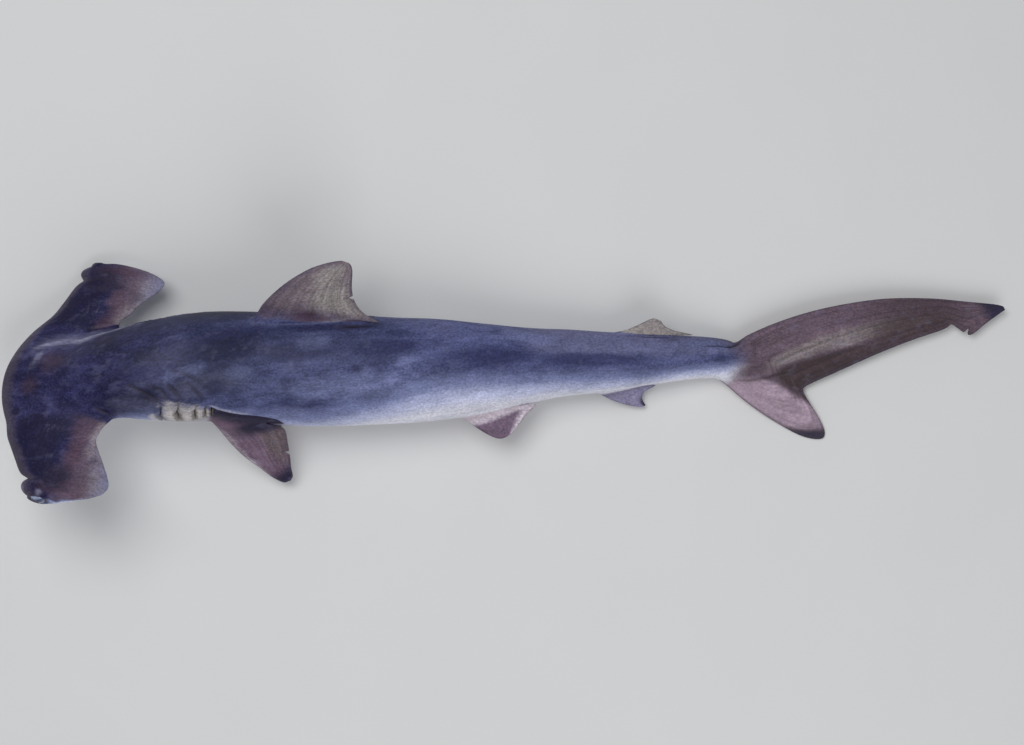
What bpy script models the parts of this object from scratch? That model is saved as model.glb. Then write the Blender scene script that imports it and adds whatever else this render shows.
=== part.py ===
"""A young smooth hammerhead shark at life size, still, lying on its right side as it was landed.

The shark is first laid out straight: u runs from the snout to the tail, v to its left and w to its
back, all in millimetres. The pose then carries each point to its place on the floor, in metres.
"""

import math

import bmesh
import bpy
import numpy as np

MM = 0.001
GAP = 0.3
RING = 26
TAIL_RING = 20

# How far the straight line of the spine is moved, so that the box round the whole animal is
# centred on the origin.
SNOUT_X = -421.1
ACROSS = -2.10

# Trunk sections: distance from the snout, half width, height of the back, depth of the belly.
TRUNK = (
    (30, 16, 7, 6),
    (45, 23, 14, 9),
    (70, 31, 25, 18),
    (100, 38, 35, 30),
    (125, 42, 42.6, 38),
    (165, 45, 48.8, 44),
    (210, 45, 49.8, 48.6),
    (255, 44, 50.3, 49.2),
    (295, 42.5, 49.8, 47.8),
    (340, 40, 46.3, 45),
    (380, 37, 42.2, 42),
    (422, 32, 36.5, 36),
    (465, 26.5, 30.5, 29),
    (508, 23, 27, 25.5),
    (550, 19.5, 23.3, 21),
    (590, 15.5, 19.2, 17.6),
    (606, 13.3, 16.9, 18.2),
)
BACK_POWER = 1.18
BELLY_POWER = 0.92
TRUNK_PIECES = (
    ("neck", 93.0, 186.0),
    ("trunk_front", 186.0, 305.0),
    ("trunk_middle", 305.0, 420.0),
    ("trunk_rear", 420.0, 530.0),
    ("tail_stalk", 530.0, 606.0),
)

# The line of the spine on the floor: distance from the snout, place across, height, and the turn
# of the back towards the sky in degrees.
SPINE = (
    (-20, 4.3, 28.9, 63),
    (0, 4.5, 34.7, 63),
    (60, 5.0, 52.4, 63),
    (90, 7.2, 60.0, 62),
    (115, 9.4, 63.3, 58),
    (145, 11.6, 61.2, 52),
    (180, 14.0, 54.2, 45),
    (220, 13.4, 47.4, 39),
    (260, 11.6, 45.1, 35),
    (300, 10.4, 43.0, 30),
    (340, 10.7, 40.2, 23),
    (380, 12.0, 36.6, 16),
    (422, 13.6, 31.6, 12),
    (465, 15.8, 26.1, 12),
    (508, 17.6, 22.5, 15),
    (550, 19.5, 19.1, 19),
    (590, 21.4, 15.1, 16),
    (612, 22.2, 13.4, 13),
    (650, 22.4, 11.4, 9),
    (700, 22.4, 10.2, 7),
    (780, 22.2, 8.6, 5),
    (860, 22.0, 7.2, 4),
)
SPINE_STEP = 1.0
HEAD_SHEAR = -0.09
RIGHT_LOBE_SPAN = 0.955
# How each lobe's end is bent: its front and its rear corner along the body, then its rear corner,
# the notch in front of the eye, and the eye outward.
LOBE_BENDS = {1: (2.0, 4.0, 3.5, -5.5, 0.8), -1: (-8.5, 0.0, -7.5, -0.5, -1.8)}
# Where across the head its margins are bent along the body: middle, width, front, rear.
MARGIN_BENDS = ((20, 38, -2.8, 0.0), (-51, 17, 4.2, 0.0), (-66, 16, 0.0, -3.2), (70, 18, 1.4, 0.0))
HAMMER_HOLD = 60.0

# Half of the hammer seen from above: each (v, u) of the front margin and its partner on the rear
# margin. The pairs close at the outer end, behind the eye.
HAMMER_FRONT = (
    (0, -1.5), (20, 0), (41, 8), (60, 19), (78, 30.5), (88, 37), (93, 41.5), (96.5, 46),
    (100, 46), (104, 42.5), (108, 43), (111, 47.5), (113, 55), (113.8, 64), (113.8, 73),
)
HAMMER_REAR = (
    (0, 94), (20, 94), (41, 94.5), (60, 98), (76, 107), (87, 113.5), (92, 116), (95.5, 117.5),
    (98.5, 118), (102, 117), (105, 113.5), (107.5, 107.5), (110, 99), (112, 89), (113.4, 79),
)
HAMMER_THICKNESS = ((0, 26), (30, 24), (60, 20), (88, 17.5), (104, 19), (110, 18.5), (115, 14))
HEAD_SPLIT = 41.0
NECK_START = 93.0
EYE_PLACE = (59.2, 108.5, 0.7)
EYE_RADIUS = 8.2

# Gill slits: distance from the snout, and the turn round the body where each starts and ends.
GILLS = ((133.5, 79, 117), (146.5, 79, 119), (158, 87, 118), (166.5, 90, 114), (173, 93, 110))
GILL_HALF_WIDTH = 0.9
GILL_DEPTH = 4.5

# The mouth: how far its middle and its corners lie behind the snout, and half of its width.
MOUTH_MIDDLE = 56.0
MOUTH_CORNER = 84.0
MOUTH_HALF = 31.0
MOUTH_DEPTH = 6.0

# Tail fin: pairs of points (u, w) on its upper and its lower outline, from the stalk to the tip.
TAIL_UPPER = (
    (606, 16.9), (610, 16.2), (614, 15.4), (617.5, 14.4), (620.5, 13.0), (622.5, 12.6),
    (624.5, 13.3), (626, 14.2), (627.5, 15.1), (629, 16.2), (630.5, 17.2), (633, 18.8),
    (643, 23.5), (660, 30.5), (687, 39.2), (720, 46.2), (753, 50.5), (786, 50.6), (799, 49.9),
    (809, 49), (817, 48.2), (830, 47), (841, 46), (849, 45), (854, 43.3),
)
TAIL_LOWER = (
    (606, -18.2), (615, -23.8), (630, -37), (648, -50), (667, -61.5), (682, -69), (694, -71.5),
    (701, -70), (701, -62), (694, -49), (685.5, -36), (681, -27.5), (691, -22), (708, -14.5),
    (735, -2), (756, 7), (779, 16), (803, 24), (808, 29), (816, 23.5), (825, 18.3),
    (835, 26.5), (845, 34), (852, 39), (855, 41),
)
TAIL_FORK = 11
TAIL_CORE = ((606, 13.3), (620, 11), (640, 9), (665, 7), (700, 5.4), (745, 4), (800, 2.4), (848, 1.0))
TAIL_AXIS = ((606, 0), (640, 3), (670, 13), (700, 23), (745, 33), (800, 41), (848, 43))
BLADE_EDGE = 0.9

# Fins: margins as (u, height above the skin) from the root to the apex, the turn round the body
# of the root, and the way that the fin points, as a turn from the back towards the left. A flop
# lays the free rear tip over to the left: where it starts, where it is whole, and how far it goes.
NO_FLOP = (0, 1, 0)
PELVIC_FRONT = ((386, 0), (395, 9), (406, 18.5), (415, 24.5), (421, 26))
PELVIC_REAR = ((430, 0), (450, 2), (441.5, 8.5), (433, 17.5), (426, 24.8))
PECTORAL_FRONT = ((178, 0), (188.5, 16.2), (201.5, 33.4), (214.5, 47.4), (227.5, 59.4), (238, 65.6), (243.5, 67))
PECTORAL_REAR = ((222, 0), (241, 4), (244, 18), (246.5, 36), (247.5, 50), (249, 58.5), (246.5, 65.2))
FAR_FIN_FRONT = ((175, 0), (184, 15), (196, 31), (208, 45), (219, 55.5), (228, 61.5), (234, 63))
FAR_FIN_REAR = ((217, 0), (233, 4), (235, 17), (236.5, 34), (237.5, 47), (238.5, 56), (237, 62))
FINS = {
    "dorsal_fin_1": dict(
        front=(
            (209, 0), (216.5, 14), (228, 31), (241.5, 45.8), (256.5, 56.4), (270, 61.5), (280.5, 63.0),
            (286.5, 62.6),
        ),
        rear=(
            (302, 0), (320, 0.4), (306, 6.5), (297.5, 18), (294.5, 34), (295.4, 49), (294, 56.5),
            (291, 60.6),
        ),
        root=0, lean=10, thickness=8.0, mirror=1, flop=(298, 320, 8.5),
    ),
    "dorsal_fin_2": dict(
        front=((521, 0), (532, 4.6), (541.5, 10.5), (549, 15.2), (553.5, 16.4)),
        rear=((566, 0), (588, 1), (572, 3.6), (561.5, 8.4), (557, 15)),
        root=0, lean=16, thickness=4.0, mirror=1,
    ),
    "anal_fin": dict(
        front=((503, 0), (514, 8), (527, 15), (539, 19.5), (544, 20.5)),
        rear=((540, 0), (556, 2), (545, 6), (542, 12), (546, 20)),
        root=180, lean=180, thickness=4.0, mirror=1,
    ),
    "pelvic_fin_left": dict(
        front=PELVIC_FRONT, rear=PELVIC_REAR, root=155, lean=180, thickness=5.0, mirror=1,
    ),
    "pelvic_fin_right": dict(
        front=PELVIC_FRONT, rear=PELVIC_REAR, root=158, lean=182, thickness=5.0, mirror=-1,
    ),
    "pectoral_fin_left": dict(
        front=PECTORAL_FRONT, rear=PECTORAL_REAR, root=131, lean=183, thickness=9.0, mirror=1,
    ),
    "pectoral_fin_right": dict(
        front=FAR_FIN_FRONT, rear=FAR_FIN_REAR, root=142, lean=212, thickness=9.0, mirror=-1,
    ),
}


def smooth_curve(points):
    """A cubic through (x, y) points that never overshoots them."""
    xs = np.array([p[0] for p in points], float)
    ys = np.array([p[1] for p in points], float)
    steps = np.diff(xs)
    slopes = np.diff(ys) / steps
    tangents = np.concatenate([slopes[:1], np.zeros(len(xs) - 2), slopes[-1:]])
    for i in range(1, len(xs) - 1):
        if slopes[i - 1] * slopes[i] > 0:
            before = 2 * steps[i] + steps[i - 1]
            after = steps[i] + 2 * steps[i - 1]
            tangents[i] = (before + after) / (before / slopes[i - 1] + after / slopes[i])

    def value(x):
        i = np.clip(np.searchsorted(xs, x, side="right") - 1, 0, len(xs) - 2)
        t = np.clip((x - xs[i]) / steps[i], 0, 1)
        return (
            (2 * t**3 - 3 * t**2 + 1) * ys[i]
            + (t**3 - 2 * t**2 + t) * steps[i] * tangents[i]
            + (3 * t**2 - 2 * t**3) * ys[i + 1]
            + (t**3 - t**2) * steps[i] * tangents[i + 1]
        )

    return value


def smooth_line(points, corners=()):
    """A curve through 2-D points by their index, with a sharp turn at the corners."""
    nodes = np.array(points, float)
    last = len(nodes) - 1
    ends = set(corners) | {0, last}

    def tangent(i, ahead):
        if i not in ends:
            return (nodes[i + 1] - nodes[i - 1]) / 2
        if ahead:
            return nodes[min(i + 1, last)] - nodes[i]
        return nodes[i] - nodes[max(i - 1, 0)]

    leaving = np.array([tangent(i, True) for i in range(last)])
    coming = np.array([tangent(i + 1, False) for i in range(last)])

    def value(k):
        k = np.asarray(k, float)
        i = np.clip(np.floor(k).astype(int), 0, last - 1)
        t = (k - i)[..., None]
        return (
            (2 * t**3 - 3 * t**2 + 1) * nodes[i]
            + (t**3 - 2 * t**2 + t) * leaving[i]
            + (3 * t**2 - 2 * t**3) * nodes[i + 1]
            + (t**3 - t**2) * coming[i]
        )

    return value


def ease(low, high, x):
    t = np.clip((x - low) / (high - low), 0, 1)
    return t * t * (3 - 2 * t)


half_width = smooth_curve([(s[0], s[1]) for s in TRUNK])
back = smooth_curve([(s[0], s[2]) for s in TRUNK])
belly = smooth_curve([(s[0], s[3]) for s in TRUNK])
hammer_thickness = smooth_curve(HAMMER_THICKNESS)
tail_core = smooth_curve(TAIL_CORE)
tail_axis = smooth_curve(TAIL_AXIS)


def build_spine():
    """Places and frames along the spine, one each step."""
    u = np.arange(SPINE[0][0], SPINE[-1][0] + SPINE_STEP, SPINE_STEP)
    y = smooth_curve([(s[0], s[1]) for s in SPINE])(u)
    z = smooth_curve([(s[0], s[2]) for s in SPINE])(u)
    roll = np.radians(smooth_curve([(s[0], s[3]) for s in SPINE])(u))
    dy = np.gradient(y, u)
    dz = np.gradient(z, u)
    dx = np.sqrt(1 - dy**2 - dz**2)
    x = np.concatenate([[0], np.cumsum((dx[1:] + dx[:-1]) / 2 * SPINE_STEP)])
    x += SNOUT_X - np.interp(0, u, x)
    along = np.stack([dx, dy, dz], 1)
    up = np.stack([0 * roll, np.cos(roll), np.sin(roll)], 1)
    up -= (up * along).sum(1, keepdims=True) * along
    up /= np.linalg.norm(up, axis=1, keepdims=True)
    side = np.cross(along, up)
    return u, np.hstack([np.stack([x, y + ACROSS, z], 1), along, side, up])


SPINE_U, SPINE_FRAMES = build_spine()


def bend_head(u, v):
    """Points of the straight head, bent a little as the real one lies."""
    at_head = u < 140
    left, right = LOBE_BENDS[1], LOBE_BENDS[-1]
    side = np.where(v < 0, -1, 1)
    front, rear, rear_out, notch_out, eye_out = (np.where(v < 0, b, a) for a, b in zip(left, right))
    end = ease(62, 106, np.abs(v)) * at_head
    notch = np.exp(-(((np.abs(v) - 104) / 9) ** 2)) * (1 - ease(45, 75, u)) * at_head
    behind = np.clip((u - 46) / 66, 0, 1)
    ahead = (1 - ease(5, 70, u)) * at_head
    margin = ease(60, 100, u) * at_head
    bent_u = u + end * (front * (1 - behind) + rear * behind)
    for middle, wide, front_size, rear_size in MARGIN_BENDS:
        bent_u = bent_u + np.exp(-(((v - middle) / wide) ** 2)) * (front_size * ahead + rear_size * margin)
    by_eye = end * np.exp(-(((u - 58) / 20) ** 2)) * eye_out
    bent_v = v + side * (end * rear_out * behind**2 + notch * notch_out + by_eye)
    return bent_u, bent_v


def pose(points):
    """Points of the straight shark, (u, v, w) in millimetres, on the posed one in metres."""
    p = np.asarray(points, float).reshape(-1, 3)
    u, v, w = p.T
    u, v = bend_head(u, v)
    v = np.where((v < 0) & (u < 140), v * (1 - (1 - RIGHT_LOBE_SPAN) * ease(38, 90, -v)), v)
    rigid = ease(38, 62, np.abs(v)) * (u < 140)
    anchor = u + rigid * (np.minimum(u, HAMMER_HOLD) - u)
    u = u + HEAD_SHEAR * v * ease(40, 60, np.abs(v)) * (u < 140)
    frame = np.stack([np.interp(anchor, SPINE_U, f) for f in SPINE_FRAMES.T], 1)
    place, along, side, up = frame[:, :3], frame[:, 3:6], frame[:, 6:9], frame[:, 9:]
    out = place + (u - anchor)[:, None] * along + v[:, None] * side + w[:, None] * up
    return out * MM


def trunk_ring(u, grow=0.0, count=RING):
    """One section of the trunk, from the back round the left side."""
    return trunk_skin(u, np.linspace(0, 2 * np.pi, count, endpoint=False), grow)


def trunk_skin(u, turn, grow):
    """Points on the trunk's skin, or above it by grow, at a turn round it from the back."""
    c, s = np.cos(turn), np.sin(turn)
    power = 1 + (BACK_POWER - 1) * ease(0, 0.9, c) + (BELLY_POWER - 1) * ease(0, 0.9, -c)
    v = (half_width(u) + grow) * np.sign(s) * np.abs(s) ** power
    w = np.where(c > 0, (back(u) + grow) * c, (belly(u) + grow) * c)
    return np.stack([0 * v + u, v, w], 1)


def trunk_height(u, v, side):
    """How far the trunk's skin stands above or below its axis at u, v. It falls away outside."""
    reach = np.abs(v) / half_width(u)
    power = BACK_POWER if side > 0 else BELLY_POWER
    s = np.clip(reach, 0, 1) ** (1 / power)
    tall = back(u) if side > 0 else belly(u)
    return tall * np.sqrt(1 - s * s) - 40 * np.clip(reach - 1, 0, None)


def airfoil(m):
    """Half thickness along a chord, of 1 at its thickest: round in front and thin behind."""
    m = np.clip(m, 0, 1)
    shape = 0.2969 * np.sqrt(m) - 0.126 * m - 0.3516 * m**2 + 0.2843 * m**3 - 0.1036 * m**4
    return shape * 10


def hammer_column(k, side, rows, stop=None, split=None):
    """A loop round the hammer from front to rear: over the top, and back below it."""
    front = smooth_line(HAMMER_FRONT)(k)
    rear = smooth_line(HAMMER_REAR)(k)
    m = (1 - np.cos(np.linspace(0, np.pi, rows))) / 2
    line = front[None] * (1 - m[:, None]) + rear[None] * m[:, None]
    v, u = line[:, 0], line[:, 1]
    if stop is not None:
        u = front[1] + (np.minimum(rear[1], stop) - front[1]) * m
    share = (u - front[1]) / max(rear[1] - front[1], 1)
    share = np.clip(share if stop is not None else m, 0, 1)
    round_end = math.sqrt(max(1 - (max(k - 11, 0) / 3.4) ** 2, 0.02))
    half = hammer_thickness(v) / 2 * (airfoil(share) * 0.93 + 0.07) * round_end
    half = np.maximum(half, BLADE_EDGE * 0.6)
    top, bottom = half, half
    if stop is not None:
        neck = ease(HEAD_SPLIT - 2, HEAD_SPLIT - 14, np.abs(v))
        top = blend_up(half, trunk_height(u, v, 1), neck)
        bottom = blend_up(half, trunk_height(u, v, -1), neck)
    upper = np.stack([u, side * v, top], 1)
    lower = np.stack([u, side * v, -bottom], 1)
    nose = upper[:1] * (1, 1, 0)
    if stop is not None:
        return np.vstack([nose, upper[1:], lower[:0:-1]])
    tail = upper[-1:] * (1, 1, 0)
    return np.vstack([nose, upper[1:-1], tail, lower[-2:0:-1]])


def blend_up(a, b, share):
    soft = 0.5 * (a + b + np.sqrt((a - b) ** 2 + 36))
    return a + (np.maximum(soft, a) - a) * share


def tail_ring(k, count=TAIL_RING):
    """One slanting section of the tail fin, between its two outlines."""
    upper = smooth_line(TAIL_UPPER)(k)
    lower = smooth_line(TAIL_LOWER, corners=(TAIL_FORK, 18))(k)
    turn = np.linspace(0, 2 * np.pi, count, endpoint=False)
    m = (1 - np.cos(turn)) / 2
    line = upper[None] * (1 - m[:, None]) + lower[None] * m[:, None]
    u, w = line[:, 0], line[:, 1]
    c, s = np.cos(turn), np.sin(turn)
    power = 1 + (BACK_POWER - 1) * ease(0, 0.9, c) + (BELLY_POWER - 1) * ease(0, 0.9, -c)
    round_half = tail_core(u) * np.abs(s) ** power
    spread = 7 + 0.012 * (848 - u)
    bell = np.exp(-(((w - tail_axis(u)) / spread) ** 2))
    shut = np.clip(1 - np.abs(2 * m - 1) ** 10, 0, 1) ** 0.5
    blade_half = (BLADE_EDGE + (tail_core(u) - BLADE_EDGE) * bell) * shut
    flat = ease(0, 5, k)
    half = np.maximum(round_half * (1 - flat) + blade_half * flat, 0.25 * np.abs(s))
    return np.stack([u, np.sign(s) * half, w], 1)


def fin_loops(front, rear, root, lean, thickness, mirror, flop=NO_FLOP, spans=8, rows=8, start=-7.0):
    """Closed loops round a fin from inside its root to its apex."""
    front_line, rear_line = smooth_line(front), smooth_line(rear)
    loops = []
    for step in np.concatenate([[-1], np.linspace(0, 1, spans)]):
        f = front_line(np.array(max(step, 0) * (len(front) - 1)))
        r = rear_line(np.array(max(step, 0) * (len(rear) - 1)))
        m = (1 - np.cos(np.linspace(0, np.pi, rows))) / 2
        u = f[0] * (1 - m) + r[0] * m
        h = f[1] * (1 - m) + r[1] * m if step >= 0 else 0 * m + start
        thin = 1 - 0.72 * np.clip(max(step, 0), 0, 1) ** 0.7
        half = thickness / 2 * thin * (airfoil(m) * 0.86 + 0.14 * np.sqrt(np.sin(np.pi * m)))
        half[0] = half[-1] = 0
        half[1:-1] = np.maximum(half[1:-1], 0.45)
        loops.append(fin_points(u, h, half, root, lean, mirror, flop))
    return loops


def above_floor(points, half):
    """Lifts a fin that would sink into the floor until its lower face lies on it."""
    sunk = half - points[:, 2] / MM
    points[:, 2] += 0.5 * (sunk + np.sqrt(sunk**2 + 0.5)) * MM
    return points


def fin_points(u, h, half, root, lean, mirror, flop):
    """One loop: out along the fin's one face and back along its other."""
    turn = math.radians(root)
    c, s = math.cos(turn), math.sin(turn)
    power = BACK_POWER if c > 0 else BELLY_POWER
    v0 = half_width(u) * np.sign(s) * abs(s) ** power + flop[2] * ease(flop[0], flop[1], u)
    w0 = np.where(c > 0, back(u) * c, belly(u) * c)
    tilt = math.radians(lean)
    reach = np.array([math.sin(tilt), math.cos(tilt)])
    middle = np.stack([u, (v0 + h * reach[0]) * mirror, w0 + h * reach[1]], 1)
    across = np.stack([0 * u, half * reach[1] * mirror, -half * reach[0]], 1)
    resting = above_floor(pose(middle), half)
    turned = pose(middle + across) - pose(middle)
    return np.vstack([resting + turned, (resting - turned)[-2:0:-1]])


front_at = smooth_curve([(v, u) for v, u in HAMMER_FRONT[:7]])
rear_at = smooth_curve([(v, u) for v, u in HAMMER_REAR[:7]])


def head_underside(u, v):
    """Depth of the head's lower surface below its axis."""
    v = np.abs(v)
    share = (u - front_at(v)) / (rear_at(v) - front_at(v))
    half = hammer_thickness(v) / 2 * (airfoil(share) * 0.93 + 0.07)
    return blend_up(half, trunk_height(u, v, -1), ease(HEAD_SPLIT - 2, HEAD_SPLIT - 14, v))


def gill_cutter(name, place, start, end, side, paint):
    """A curved blade that stands through the skin, thinner and shallower at its ends."""
    loops = []
    for turn in np.radians(np.linspace(start, end, 7)):
        along = (math.degrees(turn) - start) / (end - start)
        swell = 0.25 + 0.75 * math.sqrt(math.sin(math.pi * np.clip(along, 0, 1)))
        wide, deep = GILL_HALF_WIDTH * swell, GILL_DEPTH * swell
        corners = ((-wide, -deep), (wide, -deep), (wide, 2.0), (-wide, 2.0))
        loop = [trunk_skin(np.array([place + du]), np.array([turn]), grow)[0] for du, grow in corners]
        loops.append(pose(np.array(loop) * (1, side, 1)))
    return solid_from(name, loops, paint)


def mouth_cutter(paint):
    """A crescent under the head that opens it a little at the middle."""
    loops = []
    for v in np.linspace(-MOUTH_HALF, MOUTH_HALF, 13):
        u = MOUTH_MIDDLE + (MOUTH_CORNER - MOUTH_MIDDLE) * (v / MOUTH_HALF) ** 2
        swell = 0.2 + 0.8 * (1 - (v / MOUTH_HALF) ** 2)
        skin = -head_underside(u, v)
        wide = 1.5 * swell
        corners = ((-wide, -3.0), (wide, -3.0), (wide, MOUTH_DEPTH * swell), (-wide, MOUTH_DEPTH * swell))
        loops.append(pose([(u + du, v, skin + rise) for du, rise in corners]))
    return solid_from("mouth_cutter", loops, paint)


def ball(name, centre, radius, paint):
    bm = bmesh.new()
    bmesh.ops.create_uvsphere(bm, u_segments=16, v_segments=10, radius=radius * MM)
    bmesh.ops.translate(bm, verts=bm.verts[:], vec=centre)
    return finish(name, bm, paint)


def material(name, colour, roughness):
    made = bpy.data.materials.new(name)
    made.use_nodes = True
    shader = made.node_tree.nodes["Principled BSDF"]
    shader.inputs["Base Color"].default_value = (*colour, 1)
    shader.inputs["Roughness"].default_value = roughness
    shader.inputs["Metallic"].default_value = 0
    made.diffuse_color = (*colour, 1)
    return made


def solid_from(name, loops, paint):
    """A closed solid through loops of equal length, flat at both ends."""
    bm = bmesh.new()
    rows = [[bm.verts.new(p) for p in loop] for loop in loops]
    count = len(rows[0])
    for near, far in zip(rows, rows[1:]):
        for i in range(count):
            j = (i + 1) % count
            bm.faces.new((near[i], near[j], far[j], far[i]))
    bm.faces.new(rows[0][::-1])
    bm.faces.new(rows[-1])
    bmesh.ops.triangulate(bm, faces=bm.faces[:])
    bmesh.ops.recalc_face_normals(bm, faces=bm.faces[:])
    rest_on_floor(bm)
    return finish(name, bm, paint)


def rest_on_floor(bm):
    """Cuts off what would lie below the floor, which leaves a small flat."""
    if min(v.co.z for v in bm.verts) >= 0:
        return
    whole = bm.verts[:] + bm.edges[:] + bm.faces[:]
    cut = bmesh.ops.bisect_plane(bm, geom=whole, plane_co=(0, 0, 0), plane_no=(0, 0, -1), clear_outer=True)
    edges = [e for e in cut["geom_cut"] if isinstance(e, bmesh.types.BMEdge)]
    bmesh.ops.holes_fill(bm, edges=edges)
    bmesh.ops.triangulate(bm, faces=bm.faces[:])


def finish(name, bm, paint):
    mesh = bpy.data.meshes.new(name)
    bm.to_mesh(mesh)
    bm.free()
    for face in mesh.polygons:
        face.use_smooth = True
    mesh.materials.append(paint)
    made = bpy.data.objects.new(name, mesh)
    bpy.context.scene.collection.objects.link(made)
    return made


def cut_away(target, tools, name):
    """Subtracts hidden helpers from a piece."""
    for i, tool in enumerate(tools):
        tool.hide_render = True
        tool.display_type = "WIRE"
        cut = target.modifiers.new(f"{name}_{i}", "BOOLEAN")
        cut.operation = "DIFFERENCE"
        cut.solver = "EXACT"
        cut.object = tool


def build_trunk(paint):
    """The trunk in lengths, with a thin gap between them and the gill slits cut in the neck."""
    pieces = {}
    for name, start, end in TRUNK_PIECES:
        stations = np.linspace(start + GAP / 2, end - GAP / 2, max(4, round((end - start) / 18)))
        pieces[name] = solid_from(name, [pose(trunk_ring(u)) for u in stations], paint)
    cutters = [
        gill_cutter(f"gill_cutter_{i}_{side}", *gill, side, paint)
        for i, gill in enumerate(GILLS)
        for side in (1, -1)
    ]
    cut_away(pieces["neck"], cutters, "gill")


def build_head(paint, glass):
    """The middle of the head, and a lobe and an eye on each side of it."""
    columns = [hammer_column(k, 1, 11, stop=NECK_START - GAP) for k in np.linspace(0, 2, 7)]
    mirrored = [loop * (1, -1, 1) for loop in columns[:0:-1]]
    centre = solid_from("head_centre", [pose(loop) for loop in mirrored + columns], paint)
    cut_away(centre, [mouth_cutter(paint)], "mouth")
    for name, side in (("left", 1), ("right", -1)):
        stations = np.concatenate([[2.02], np.linspace(2.8, 14, 17)])
        lobe = solid_from("hammer_" + name, [pose(hammer_column(k, side, 10)) for k in stations], paint)
        place = pose([(EYE_PLACE[0], side * EYE_PLACE[1], EYE_PLACE[2])])[0]
        ball("eye_" + name, place, EYE_RADIUS, glass)
        cut_away(lobe, [ball("socket_cutter_" + name, place, EYE_RADIUS + GAP, paint)], "socket")


def build_tail(paint):
    """The tail fin, parted at its fork."""
    lower = np.concatenate([[0.04], np.linspace(0.7, TAIL_FORK - 0.04, 16)])
    upper = np.concatenate([[TAIL_FORK + 0.04], np.linspace(TAIL_FORK + 0.6, 24, 25)])
    solid_from("tail_fin_lower", [pose(tail_ring(k)) for k in lower], paint)
    solid_from("tail_fin_upper", [pose(tail_ring(k)) for k in upper], paint)


def build_fins(paint):
    """The other fins, each cut back to stand just clear of the trunk."""
    stations = np.linspace(140, 602, 36)
    trunk = solid_from("trunk_clearance", [pose(trunk_ring(u, grow=2 * GAP)) for u in stations], paint)
    for name, fin in FINS.items():
        cut_away(solid_from(name, fin_loops(**fin), paint), [trunk], "trunk")


def main():
    for old in list(bpy.data.objects):
        bpy.data.objects.remove(old, do_unlink=True)
    slate = material("slate_skin", (0.07, 0.08, 0.13), 0.45)
    brown = material("fin_skin", (0.16, 0.12, 0.13), 0.5)
    glass = material("eye", (0.3, 0.36, 0.45), 0.1)
    build_trunk(slate)
    build_head(slate, glass)
    build_tail(brown)
    build_fins(brown)


main()
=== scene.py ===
"""Looks of the young smooth hammerhead shark: one skin over the whole body, and its two eyes."""

import math

import bmesh
import bpy
import numpy as np
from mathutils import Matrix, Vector, noise
from mathutils.kdtree import KDTree


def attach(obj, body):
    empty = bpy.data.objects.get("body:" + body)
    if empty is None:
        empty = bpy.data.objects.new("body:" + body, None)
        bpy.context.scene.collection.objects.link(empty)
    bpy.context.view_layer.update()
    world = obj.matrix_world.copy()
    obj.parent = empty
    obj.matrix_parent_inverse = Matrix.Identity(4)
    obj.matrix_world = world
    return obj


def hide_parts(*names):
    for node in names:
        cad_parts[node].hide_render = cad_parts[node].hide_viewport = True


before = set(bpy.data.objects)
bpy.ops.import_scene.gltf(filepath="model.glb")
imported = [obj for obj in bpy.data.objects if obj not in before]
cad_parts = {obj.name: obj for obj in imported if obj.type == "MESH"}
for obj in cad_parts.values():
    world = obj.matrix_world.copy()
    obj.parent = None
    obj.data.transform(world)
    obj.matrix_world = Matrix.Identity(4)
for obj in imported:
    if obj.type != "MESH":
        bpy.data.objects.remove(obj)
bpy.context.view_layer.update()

# The shark is laid out straight first: u runs from the snout to the tail, v to its left and w to
# its back, in millimetres. The pose carries each point to its place on the floor, in metres.
MM = 0.001
# Where the snout lies along the floor, and how far the whole shark is moved across it.
SNOUT_X = -421.1
ACROSS = -2.10

# Trunk sections: distance from the snout, half width, height of the back, depth of the belly.
TRUNK = (
    (30, 16, 7, 6),
    (45, 23, 14, 9),
    (70, 31, 25, 18),
    (100, 38, 35, 30),
    (125, 42, 42.6, 38),
    (165, 45, 48.8, 44),
    (210, 45, 49.8, 48.6),
    (255, 44, 50.3, 49.2),
    (295, 42.5, 49.8, 47.8),
    (340, 40, 46.3, 45),
    (380, 37, 42.2, 42),
    (422, 32, 36.5, 36),
    (465, 26.5, 30.5, 29),
    (508, 23, 27, 25.5),
    (550, 19.5, 23.3, 21),
    (590, 15.5, 19.2, 17.6),
    (606, 13.3, 16.9, 18.2),
)
# How full a section is towards the back and towards the belly: 1 is an ellipse.
BACK_POWER = 1.18
BELLY_POWER = 0.92

# The spine on the floor: distance from the snout, place across, height, and the turn of the back
# towards the sky in degrees.
SPINE = (
    (-20, 4.3, 28.9, 63),
    (0, 4.5, 34.7, 63),
    (60, 5.0, 52.4, 63),
    (90, 7.2, 60.0, 62),
    (115, 9.4, 63.3, 58),
    (145, 11.6, 61.2, 52),
    (180, 14.0, 54.2, 45),
    (220, 13.4, 47.4, 39),
    (260, 11.6, 45.1, 35),
    (300, 10.4, 43.0, 30),
    (340, 10.7, 40.2, 23),
    (380, 12.0, 36.6, 16),
    (422, 13.6, 31.6, 12),
    (465, 15.8, 26.1, 12),
    (508, 17.6, 22.5, 15),
    (550, 19.5, 19.1, 19),
    (590, 21.4, 15.1, 16),
    (612, 22.2, 13.4, 13),
    (650, 22.4, 11.4, 9),
    (700, 22.4, 10.2, 7),
    (780, 22.2, 8.6, 5),
    (860, 22.0, 7.2, 4),
)
# The head's bends end here. Its lobes slant a little, and the far one is a little shorter.
HEAD_END = 140.0
HEAD_SHEAR = -0.09
RIGHT_LOBE_SPAN = 0.955
# How each lobe's end is bent: its front and its rear corner along the body, then its rear corner,
# the notch in front of the eye, and the eye outward.
LOBE_BENDS = {1: (2.0, 4.0, 3.5, -5.5, 0.8), -1: (-8.5, 0.0, -7.5, -0.5, -1.8)}
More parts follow.
